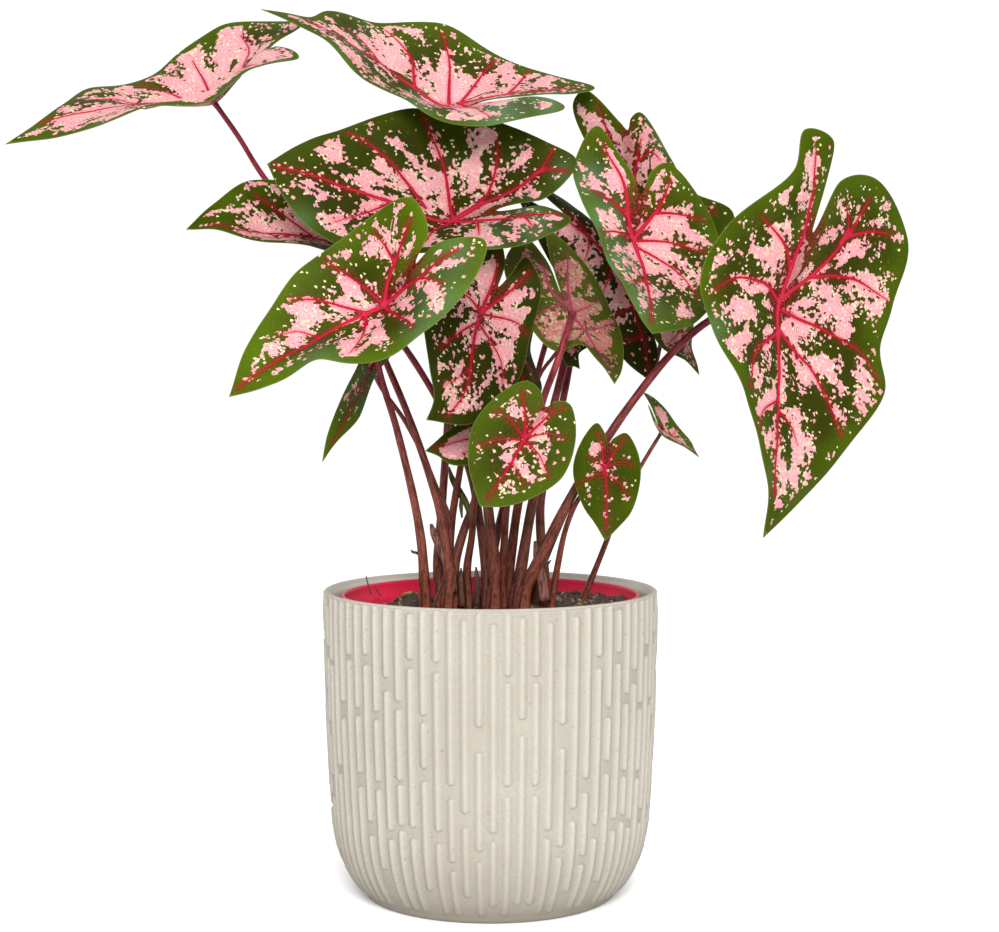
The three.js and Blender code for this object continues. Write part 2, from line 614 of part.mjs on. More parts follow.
for (const [name, { finish, blade, foot, route, thick }] of Object.entries(LEAVES)) {
  const sheet = sheetThrough(blade);
  addPiece(`blade_${name}`, bladeGeometry(sheet), finish);

  const normal = sheet.normal(0, 0);
  const junction = sheet.point(0, 0);
  const last = place(route[route.length - 1]);
  const slant = junction.clone().sub(last).normalize().cross(normal).length();
  const drop = BLADE_THICKNESS / 2 + JUNCTION_GAP + thick[1] * slant;
  const upright = UPRIGHT.map((z) => new THREE.Vector3(...foot, z));
  const top = junction.addScaledVector(normal, -drop);
  addPiece(`stalk_${name}`, stalkGeometry([...upright, ...route.map(place), top], ...thick), "stalk");
}

export default plant;
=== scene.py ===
# %% [markdown]
# # A caladium in its pot
# A caladium grows from small tubers just under the soil. Each tuber sends up thin stalks, and each stalk
# carries one heart-shaped blade, green at the margin and pink inside, with crimson veins. This plant stands
# in its crimson nursery pot, and that pot hangs in a cream ceramic cover pot with upright ribs. The solid
# model is loaded first. The leaves, stalks, pots and soil made here take the place of its nodes, and the
# sheaths, pot ribs and soil crumbs are added beside them. All sizes below are in millimetres, and `MM`
# turns them into Blender's metres when a mesh is made.

import math

import bmesh
import bpy
import numpy as np
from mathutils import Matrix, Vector, noise
from mathutils.geometry import delaunay_2d_cdt


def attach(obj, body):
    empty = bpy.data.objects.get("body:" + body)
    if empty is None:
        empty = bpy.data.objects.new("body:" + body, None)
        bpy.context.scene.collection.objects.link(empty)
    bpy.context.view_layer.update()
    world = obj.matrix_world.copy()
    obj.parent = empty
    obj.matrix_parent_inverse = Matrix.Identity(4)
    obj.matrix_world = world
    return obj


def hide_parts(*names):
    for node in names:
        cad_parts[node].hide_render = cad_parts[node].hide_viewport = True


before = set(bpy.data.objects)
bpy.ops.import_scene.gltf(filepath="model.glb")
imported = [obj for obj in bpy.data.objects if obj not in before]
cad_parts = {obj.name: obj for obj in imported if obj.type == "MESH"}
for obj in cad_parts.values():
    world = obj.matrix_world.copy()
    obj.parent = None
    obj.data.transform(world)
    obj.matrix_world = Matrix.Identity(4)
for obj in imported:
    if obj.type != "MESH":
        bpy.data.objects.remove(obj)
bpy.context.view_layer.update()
MM = 0.001
print("solid nodes:", len(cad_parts))

# %% [markdown]
# ## The camera
# The camera stands a little over the rim of the pot and looks slightly down. The same numbers turn a place
# on the picture plane and a depth into a place in the room, so that leaves and veins can be laid out the
# way a draughtsman does: on the front elevation first, then forward or back.

# %% Camera and the picture plane
EYE = np.array([3.9, -919.0, 241.0])
PITCH = 0.06
FOCUS = 2134.0
PICTURE_MIDDLE = np.array([499.5, 466.0])
SENSOR = 36.0
PICTURE_WIDTH = 999.0
FORWARD = np.array([0, math.cos(PITCH), -math.sin(PITCH)])
UPWARD = np.array([0, math.sin(PITCH), math.cos(PITCH)])

camera_data = bpy.data.cameras.new("camera")
camera_data.lens = FOCUS * SENSOR / PICTURE_WIDTH
camera_data.sensor_width = SENSOR
camera_data.clip_end = 20
camera = bpy.data.objects.new("camera", camera_data)
camera.location = EYE * MM
camera.rotation_euler = (math.pi / 2 - PITCH, 0, 0)
bpy.context.collection.objects.link(camera)
bpy.context.scene.camera = camera


def place(spot):
    """Column, row and depth on the front elevation, as a place in the room."""
    column, row, depth = spot
    across = (column - PICTURE_MIDDLE[0]) / FOCUS
    up = (PICTURE_MIDDLE[1] - row) / FOCUS
    ray = FORWARD + across * np.array([1, 0, 0]) + up * UPWARD
    return EYE + ray * (depth - EYE[1]) / ray[1]


def seen(places):
    """Places in the room, as columns and rows on the front elevation."""
    away = places - EYE
    far = away @ FORWARD
    return PICTURE_MIDDLE + FOCUS * np.stack([away[..., 0], -(away @ UPWARD)], -1) / far[..., None]


print("lens", round(camera_data.lens, 1), "mm")

# %% [markdown]
# ## Sums for shaders and node trees
# A finish or a Geometry Nodes tree is a sum of many small nodes. Adding them one by one hides the idea, so
# a `Socket` stands for one output and takes Python's own arithmetic: `1 - mask * 2` adds the Math nodes.
# `Tree.node` adds any other node: its type, its settings, then the values or links of its inputs.

# %% Socket and Tree
class Socket:
    """One output of a node, ready for arithmetic."""

    def __init__(self, tree, output):
        self.tree = tree
        self.output = output

    def sum(self, operation, *values):
        """A Math node on these values; a sum of one value names that value too."""
        inputs = dict(enumerate(values))
        return self.tree.node("ShaderNodeMath", {"operation": operation}, inputs)

    def __add__(self, other):
        return self.sum("ADD", self, other)

    def __sub__(self, other):
        return self.sum("SUBTRACT", self, other)

    def __rsub__(self, other):
        return self.sum("SUBTRACT", other, self)

    def __mul__(self, other):
        return self.sum("MULTIPLY", self, other)

    def __gt__(self, other):
        return self.sum("GREATER_THAN", self, other)

    def __neg__(self):
        return self * -1

    __radd__ = __add__
    __rmul__ = __mul__

    def to(self, low, high):
        """0 below low, 1 above high, and a smooth step between them."""
        settings = {"interpolation_type": "SMOOTHSTEP"}
        return self.tree.node("ShaderNodeMapRange", settings, {0: self, 1: low, 2: high})

    def cap(self):
        """Nothing below 0 and nothing above 1."""
        return self.tree.node("ShaderNodeClamp", {}, {0: self})


class Tree:
    """A node tree that is being made."""

    def __init__(self, nodes):
        self.nodes = nodes

    def node(self, kind, settings, inputs, output=0):
        made = self.nodes.nodes.new(kind)
        for name, value in settings.items():
            setattr(made, name, value)
        for name, value in inputs.items():
            if isinstance(value, Socket):
                self.nodes.links.new(value.output, made.inputs[name])
            else:
                made.inputs[name].default_value = value
        return Socket(self, made.outputs[output])

    def paint(self, amount, under, over):
        """Lays the colour `over` on the colour `under` where the amount is 1."""
        settings = {"data_type": "RGBA"}
        return self.node("ShaderNodeMix", settings, {0: amount, 6: under, 7: over}, output=2)

    def clouds(self, where, scale, detail=2.0, roughness=0.5):
        """Soft noise between 0 and 1, mostly near the middle."""
        inputs = {"Vector": where, "Scale": scale, "Detail": detail, "Roughness": roughness}
        return self.node("ShaderNodeTexNoise", {}, inputs)

    def reading(self, name, output="Fac"):
        """A named attribute of the piece."""
        return self.node("ShaderNodeAttribute", {"attribute_name": name}, {}, output)

    def here(self):
        """The place on the piece, in its own metres."""
        return self.node("ShaderNodeTexCoord", {}, {}, "Object")

    def height(self):
        """Millimetres above the base of the pot."""
        return self.parts(self.here())[2] * 1000

    def parts(self, vector):
        """The three numbers of a vector."""
        x = self.node("ShaderNodeSeparateXYZ", {}, {0: vector})
        return [Socket(self, output) for output in x.output.node.outputs]

    def vector(self, *numbers):
        return self.node("ShaderNodeCombineXYZ", {}, dict(enumerate(numbers)))

    def bump(self, height, strength, distance):
        inputs = {"Height": height, "Strength": strength, "Distance": distance * MM}
        return self.node("ShaderNodeBump", {}, inputs)


# How much brighter than its own colour a pale surface shows in the studio.
STUDIO_LIGHT = 2.05


def colour(code):
    """The linear colour of a surface that looks like this screen colour in the bright studio light."""
    parts = [int(code[at : at + 2], 16) / 255 for at in (1, 3, 5)]
    linear = [part / 12.92 if part < 0.04045 else ((part + 0.055) / 1.055) ** 2.4 for part in parts]
    return (*(part / STUDIO_LIGHT for part in linear), 1)


class Finish(Tree):
    """A material with one Principled shader."""

    def __init__(self, name):
        self.material = bpy.data.materials.new(name)
        self.material.use_nodes = True
        super().__init__(self.material.node_tree)
        self.shader = self.nodes.nodes["Principled BSDF"]

    def set(self, **values):
        """Sets or links the shader's inputs, with _ for a space in their names."""
        for name, value in values.items():
            socket = self.shader.inputs[name.replace("_", " ")]
            if isinstance(value, Socket):
                self.nodes.links.new(value.output, socket)
            else:
                socket.default_value = value


# %% [markdown]
# ## Making a mesh
# Every piece ends as one mesh whose object sits at the origin. `make_mesh` takes its corners in millimetres
# and its faces, and keeps any named numbers that a finish reads at each corner.

# %% Turn corners and faces into a piece
def bare_mesh(name, corners, edges, faces, numbers):
    """A mesh with named numbers, or named vectors, kept at its corners."""
    mesh = bpy.data.meshes.new(name)
    mesh.from_pydata((np.asarray(corners) * MM).tolist(), edges, faces)
    for label, values in numbers.items():
        kind, field = ("FLOAT", "value") if np.ndim(values) == 1 else ("FLOAT_VECTOR", "vector")
        layer = mesh.attributes.new(label, kind, "POINT")
        layer.data.foreach_set(field, np.ravel(values).astype(np.float32))
    return mesh


def make_mesh(name, corners, faces, finishes, slots=None, numbers=None):
    """A smooth mesh with its finishes; `slots` says which finish each face has."""
    mesh = bare_mesh(name, corners, [], faces, numbers or {})
    for finish in finishes:
        mesh.materials.append(finish.material)
    if slots is not None:
        mesh.polygons.foreach_set("material_index", slots)
    mesh.polygons.foreach_set("use_smooth", [True] * len(mesh.polygons))
    mesh.update()
    return mesh


def show(name, mesh, slot, *nodes):
    """Puts a mesh in the scene as a piece that rides on the plant's one body."""
    piece = bpy.data.objects.new(name, mesh)
    bpy.context.collection.objects.link(piece)
    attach(piece, "root")
    if nodes:
        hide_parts(*nodes)
    return piece


# %% [markdown]
# ## Smooth lines and smooth sheets
# A curve through a few chosen points needs to keep to them without swinging wide where they are close
# together, which the centripetal form of the Catmull-Rom curve does. A blade is a sheet that bends as
# little as it can while it passes through its landmarks: the thin-plate spline is the sum that gives
# exactly this sheet.

# %% Curve through points, and the thin-plate spline
SHORTEST_GAP = 1e-2


def flowing(points, steps):
    """A centripetal Catmull-Rom curve through the points, in steps from each point to the next."""
    points = np.asarray(points, float)
    ends = np.vstack([2 * points[0] - points[1], points, 2 * points[-1] - points[-2]])
    made = []
    for before, start, end, after in zip(ends, ends[1:], ends[2:], ends[3:]):
        pairs = (before, start), (start, end), (end, after)
        gaps = [max(((b - a) ** 2).sum() ** 0.25, SHORTEST_GAP) for a, b in pairs]
        leave = (start - before) / gaps[0] - (end - before) / (gaps[0] + gaps[1]) + (end - start) / gaps[1]
        reach = (end - start) / gaps[1] - (after - start) / (gaps[1] + gaps[2]) + (after - end) / gaps[2]
        leave, reach = leave * gaps[1], reach * gaps[1]
        for part in np.arange(steps) / steps:
            cubic = (2 * start - 2 * end + leave + reach) * part**3
            made.append(cubic + (3 * end - 3 * start - 2 * leave - reach) * part**2 + leave * part + start)
    return np.array([*made, points[-1]])


def even(line, spacing):
    """The same line, cut into equal steps of about the given length."""
    length = np.r_[0, np.linalg.norm(np.diff(line, axis=0), axis=1).cumsum()]
    marks = np.linspace(0, length[-1], max(2, round(length[-1] / spacing) + 1))
    return np.stack([np.interp(marks, length, numbers) for numbers in line.T], 1)


def bending(steps):
    """How a thin plate answers at these offsets from one of its pins."""
    square = np.maximum((steps**2).sum(-1), 1e-9)
    return square * np.log(square)


class Plate:
    """The smoothest surface or mapping through values at flat spots."""

    def __init__(self, spots, values):
        self.spots = np.asarray(spots, float)
        count = len(self.spots)
        level = np.c_[np.ones(count), self.spots]
        sums = np.zeros((count + 3, count + 3))
        sums[:count, :count] = bending(self.spots[:, None] - self.spots)
        sums[:count, count:] = level
        sums[count:, :count] = level.T
        wanted = np.reshape(values, (count, -1))
        wanted = np.vstack([wanted, np.zeros((3, wanted.shape[1]))])
        self.pull = np.linalg.solve(sums, wanted)

    def __call__(self, where):
        count = len(self.spots)
        bent = bending(where[..., None, :] - self.spots) @ self.pull[:count]
        return bent + self.pull[count] + where @ self.pull[count + 1 :]


# %% [markdown]
# ## The leaves' landmarks
# A caladium blade is a heart hung from a point inside it, the junction, where the stalk meets it. Every
# blade is the same heart, turned, tilted and bent, so each one is given by the same landmarks: the
# junction, the tip, the two lobes, the sinus between them and the places where the margin turns. Each
# landmark is a column and a row on the front elevation and a depth in millimetres. They stand in the
# pattern's order: junction, midrib and tip, then the left margin up to the sinus, then the right margin
# back down. `None` follows the pattern.

# %% The pattern heart
HALF_HEART = {
    "Point": (15, -80), "Low": (36, -55), "Side": (55, -12), "Ear": (57, 9), "Shoulder": (53, 28),
    "Lobe": (33, 56), "Inner": (11, 38),
}
PATTERN = {"junction": (0, 0), "midrib": (0, -50), "tip": (0, -100)}
PATTERN |= {"left" + name: (-across, along) for name, (across, along) in HALF_HEART.items()}
PATTERN["sinus"] = (0, 12)
PATTERN |= {"right" + name: spot for name, spot in reversed(HALF_HEART.items())}
MARGIN = [*list(PATTERN)[2:], "tip"]
OPTIONAL = ("leftEar", "rightEar")
print("landmarks of a heart:", ", ".join(PATTERN))

# %% Landmarks of every leaf
HEARTS = {
    "upper_left": [
        (214, 102, -8), (110, 108, -22), (5, 144, -40),
        (42, 120, -30), (88, 89.5, -4), (138, 82, 8), (178, 54.5, 26), (224, 25.5, 28), (303, 22, 14),
        (272, 46, 2), (243, 71, -9),
        (274, 45.5, -22), (299, 58, -36), (248, 70.5, -49), (208, 102, -54), (145, 106.5, -46),
        (98, 127, -44), (50, 139, -42),
    ],
    "crown": [
        (449, 108, 6), (378, 62, 6), (261, 9, -4),
        (306, 17.5, 6), (328, 11, 20), (376, 22, 33), (442, 24, 38), (500, 56, 34), (595, 88, 12),
        (566, 95, 3), (476, 105, 1),
        (532, 97, -14), (565, 107, -26), (530, 117.5, -40), (452, 124, -44), (405, 99, -34), (366, 81, -23),
        (325, 41, -12),
    ],
    "broad_centre": [
        (453, 221, -34), (360, 192, -40), (267, 164, -52),
        (294, 147, -44), (332, 132, -30), (412, 108, -16), (452, 119, -14), (494, 120, -13),
        (577, 160, -18), (540, 200, -30), (496, 211, -36),
        (540, 205, -46), (571, 220, -56), (530, 243, -66), None, (452, 251, -68), (333, 243, -60),
        (288, 205, -56),
    ],
    "left_rear": [
        (338, 243, -20), (264, 232, -26), (186, 229, -34),
        (211, 206, -28), (248, 180.5, -18), (322, 184, -4), None, None, (398, 214, -2), None,
        (352, 242, -22),
        None, (380, 258, -40), None, None, (308, 246, -46), (255, 240.5, -42), (215, 230, -38),
    ],
    "front_left": [
        (384, 306, -76), (308, 344, -86), (229, 397, -98),
        (244, 351, -92), (264, 318, -84), (297, 271, -77), None, (364, 221.5, -76), (412, 197.5, -84),
        (428, 234, -88), (416, 264, -87),
        (437, 244, -94), (485, 240, -100), (470, 287, -108), (428, 328, -112), (372, 364, -114),
        (319, 359.5, -108), (278, 382, -103),
    ],
    "centre_hanging": [
        (480, 314, -50), (468, 375, -62), (426, 420, -76),
        (433, 400, -76), (430, 365, -74), (424, 310, -66), None, (455, 265, -54), (500, 244, -44),
        (505, 262, -45), (498, 287, -48.5),
        (511, 273.5, -46), (526, 257.5, -42), (541, 283, -46), None, (533, 326, -42), (516, 385, -46),
        (470, 424, -66),
    ],
    "turned_back": [
        (572, 314, -32), (594, 350, -40), (615, 384, -54),
        (621, 372, -46), (624, 347, -33), (612, 312, -20), None, (584, 262, -9), (548, 231, -7.2),
        (549, 254, -14.4), (563, 297, -25.3),
        (545, 258, -16.5), (525, 238, -14.2), (504, 268, -28.2), None, (556, 351, -44), (584, 345, -45.5),
        (604, 368, -52),
    ],
    "tall_right": [
        (633, 240, -24), (645, 288, -48), (653, 333, -78),
        (640, 318, -76), (620, 280, -58), (594, 226, -36), None, (573, 172, -20), (597, 126, -6),
        (627, 166, -12), (641, 194, -19),
        (651, 172, -12), (667, 163, -8), (712, 220, -10), None, (724, 282, -26), (694, 324, -50),
        (672, 331, -67),
    ],
    "far_right": [
        (779, 303, -42), (777, 400, -52), (763, 538, -58),
        (768, 486, -63), (744, 390, -72), (700, 288, -72), (726, 227, -67), (794, 169, -55),
        (805, 129, -49), (835, 141.5, -43.5), (812, 233, -42),
        (840, 181, -33), (878, 180, -19), (908, 240, -8), (892, 307, -10), (880, 346, -14), (885, 390, -21),
        (833, 465, -41),
    ],
    "rear_right": [
        (634, 195, 14), (668, 252, 8), (702, 316, 2),
        None, (640, 262, 18), (597, 166, 26), None, (573, 104, 25), (585, 90, 22), (620, 122, 16),
        (628, 130, 14),
        (631, 118, 12), (640, 112, 10), (672, 160, 6), (690, 190, 6), (733, 212, 12), (722, 270, 8), None,
    ],
    "dark_edge": [
        (588, 236, 0), (622, 306, -2), (648, 380, -10),
        (628, 364, -8), (600, 326, 0), (558, 276, 4), None, (538, 240, 2), (518, 196, -7), (547, 209, -1),
        (564, 214, -1),
        (546, 197, 3), (530, 182, 10), (575, 208, 11), None, (611, 250, 9), (648, 320, 3), (658, 357, -4),
    ],
    "small_rear": [
        (668, 290, 26), (683, 333, 16), (699, 375, 8),
        (686, 361, 7), (664, 350, 9), (644, 318, 20), None, None, (640, 262, 32), None, (665, 282, 28),
        None, (682, 260, 36), None, None, (694, 304, 32), (692, 345, 20), (696, 362, 13),
    ],
    "folded_right": [
        (663, 430, -6), (682, 443, -10), (699, 457, -14),
        None, (684, 447, -18), (664, 437, -16), None, None, (648, 405, -12), None, (659, 425, -6),
        None, (644, 393, 0), None, None, (667, 411, 4), (690, 440, -4), None,
    ],
    "small_heart_right": [
        (604, 470, -34), (606, 502, -38), (605, 541, -40),
        (595, 524, -38), (583, 506, -34), (573, 470, -30), None, (582, 440, -28), (597, 423, -28),
        (604, 431, -30), (609, 443, -31),
        (614, 438, -30), (626, 433, -28), (637, 450, -28), None, (641, 474, -30), (632, 511, -34),
        (617, 529, -38),
    ],
    "heart_front": [
        (524, 440, -74), (504, 472, -81), (480, 506, -90),
        (474, 488, -87), (468, 463, -80), (473, 425, -72), None, (499, 394, -66), (526, 381, -63),
        (540, 390, -64), (546, 407, -66),
        (556, 401, -66), (570, 404, -66), (576, 436, -70), None, (562, 478, -79), (528, 500, -86),
        (502, 507, -89),
    ],
    "low_left": [
        (492, 434, -36), (460, 440, -44), (425, 451, -50),
        None, (449, 430, -44), (482, 413, -34), None, None, (516, 414, -22), None, (500, 433, -34),
        None, (516, 452, -38), None, None, (488, 463, -46), (452, 465, -51), None,
    ],
    "folded_left": [
        (372, 366, -30), (350, 407, -40), (322, 462, -50),
        (327, 436, -50), (340, 403, -49), (358, 364, -43), None, None, (371, 336, -28), None,
        (378, 360, -29),
        None, (392, 345, -22), None, None, (379, 370, -22), (359, 417, -34), (338, 441, -44),
    ],
    "shaded_centre": [
        (518, 336, -22), (524, 376, -28), (530, 418, -32),
        None, (509, 392, -35), (494, 346, -30), None, None, (500, 302, -16), None, (518, 330, -20),
        None, (532, 312, -12), None, None, (530, 350, -13), (542, 386, -20), None,
    ],
    "small_dark": [
        (572, 332, -14), (574, 350, -18), (580, 369, -20),
        None, (567, 366, -24), (560, 345, -22), None, None, (560, 322, -12), None, (573, 326, -12),
        None, (588, 324, -8), None, None, (591, 344, -10), (579, 354, -17), None,
    ],
}

print("leaves:", len(HEARTS))

# %% [markdown]
# ## From landmarks to a sheet
# Lofting from front to back would need a row of cross-sections for every leaf. Instead each blade is laid
# flat on the plane that its landmarks fit best, its margin is drawn there as one flowing line, and a thin
# plate through the landmarks says how high every flat spot stands over that plane. The same flat map later
# carries the veins and the pattern, so they bend with the blade.

# %% Blade: flat outline and bent sheet
MARGIN_STEPS = 12


class Blade:
    """One blade as a flat outline and the bent sheet that it becomes."""

    def __init__(self, landmarks):
        spots = {name: place(spot) for name, spot in zip(PATTERN, landmarks) if spot}
        self.junction = spots["junction"]
        arms = [spots[name] - self.junction for name in MARGIN if name in spots]
        out = -sum(np.cross(one, other) for one, other in zip(arms, arms[1:]))
        out /= np.linalg.norm(out)
        back = self.junction - spots["tip"]
        back -= out * (back @ out)
        back /= np.linalg.norm(back)
        self.axes = np.array([np.cross(back, out), back, out])
        local = {name: self.axes @ (spot - self.junction) for name, spot in spots.items()}
        self.flat = {name: spot[:2] for name, spot in local.items()}
        self.height = Plate(list(self.flat.values()), [spot[2] for spot in local.values()])
        follow = Plate([PATTERN[name] for name in local], list(self.flat.values()))
        for name in MARGIN:
            if name not in self.flat and name not in OPTIONAL:
                self.flat[name] = follow(np.array(PATTERN[name], float))
        corners = [self.flat[name] for name in MARGIN if name in self.flat]
        self.outline = flowing(corners, MARGIN_STEPS)
        across, along = self.outline.T
        self.area = abs((across[:-1] * along[1:] - across[1:] * along[:-1]).sum()) / 2

    def at(self, flat):
        """The place in the room of a flat spot."""
        height = self.height(flat)
        return self.junction + flat @ self.axes[:2] + height * self.axes[2]

    def facing(self, flat):
        """The direction that the upper side faces."""
        step = 0.3
        slopes = [self.height(flat + way) - self.height(flat - way) for way in np.eye(2) * step]
        out = self.axes[2] - sum(slope / (2 * step) * axis for slope, axis in zip(slopes, self.axes))
        return out / np.linalg.norm(out, axis=-1, keepdims=True)


def inside(points, loop):
    """Which points are inside a closed loop."""
    crossings = np.zeros(len(points), int)
    for start, end in zip(loop, np.roll(loop, -1, 0)):
        between = (start[1] > points[:, 1]) != (end[1] > points[:, 1])
        rise = end[1] - start[1]
        if rise:
            cut = start[0] + (points[:, 1] - start[1]) * (end[0] - start[0]) / rise
            crossings += between & (points[:, 0] < cut)
    return crossings % 2 == 1


def distance_to(points, line):
    """Each point's distance to a line, the part of the line's length where that is, and the way there."""
    start, run = line[:-1], np.diff(line, axis=0)
    square = np.maximum((run**2).sum(1), 1e-12)
    part = np.clip(((points[:, None] - start) * run).sum(-1) / square, 0, 1)
    off = np.linalg.norm(points[:, None] - start - part[..., None] * run, axis=-1)
    nearest = off.argmin(1)
    rows = np.arange(len(points))
    return off[rows, nearest], (nearest + part[rows, nearest]) / len(run), run[nearest]


def lattice(loop, spacing):
    """A lattice of even triangles that covers a loop's box."""
    low, high = loop.min(0), loop.max(0)
    rows = []
    for number, height in enumerate(np.arange(low[1], high[1], spacing * math.sqrt(0.75))):
        columns = np.arange(low[0] + spacing / 2 * (number % 2), high[0], spacing)
        rows.append(np.c_[columns, np.full(len(columns), height)])
    return np.vstack(rows)


BLADES = {name: Blade(landmarks) for name, landmarks in HEARTS.items()}
for name, blade in BLADES.items():
    print(name, "blade,", round(blade.area / 100), "square cm")

# %% [markdown]
# ## The veins
# The veins of a caladium run from the junction: one to the tip, one into each lobe, and side veins that
# leave these and bend towards the tip. Their course gives each leaf its character, so it is drawn for each
# leaf on the front elevation, and `flat_line` finds the flat spots of the blade behind it. Each line starts
# with its width at the junction, in millimetres on a large leaf.

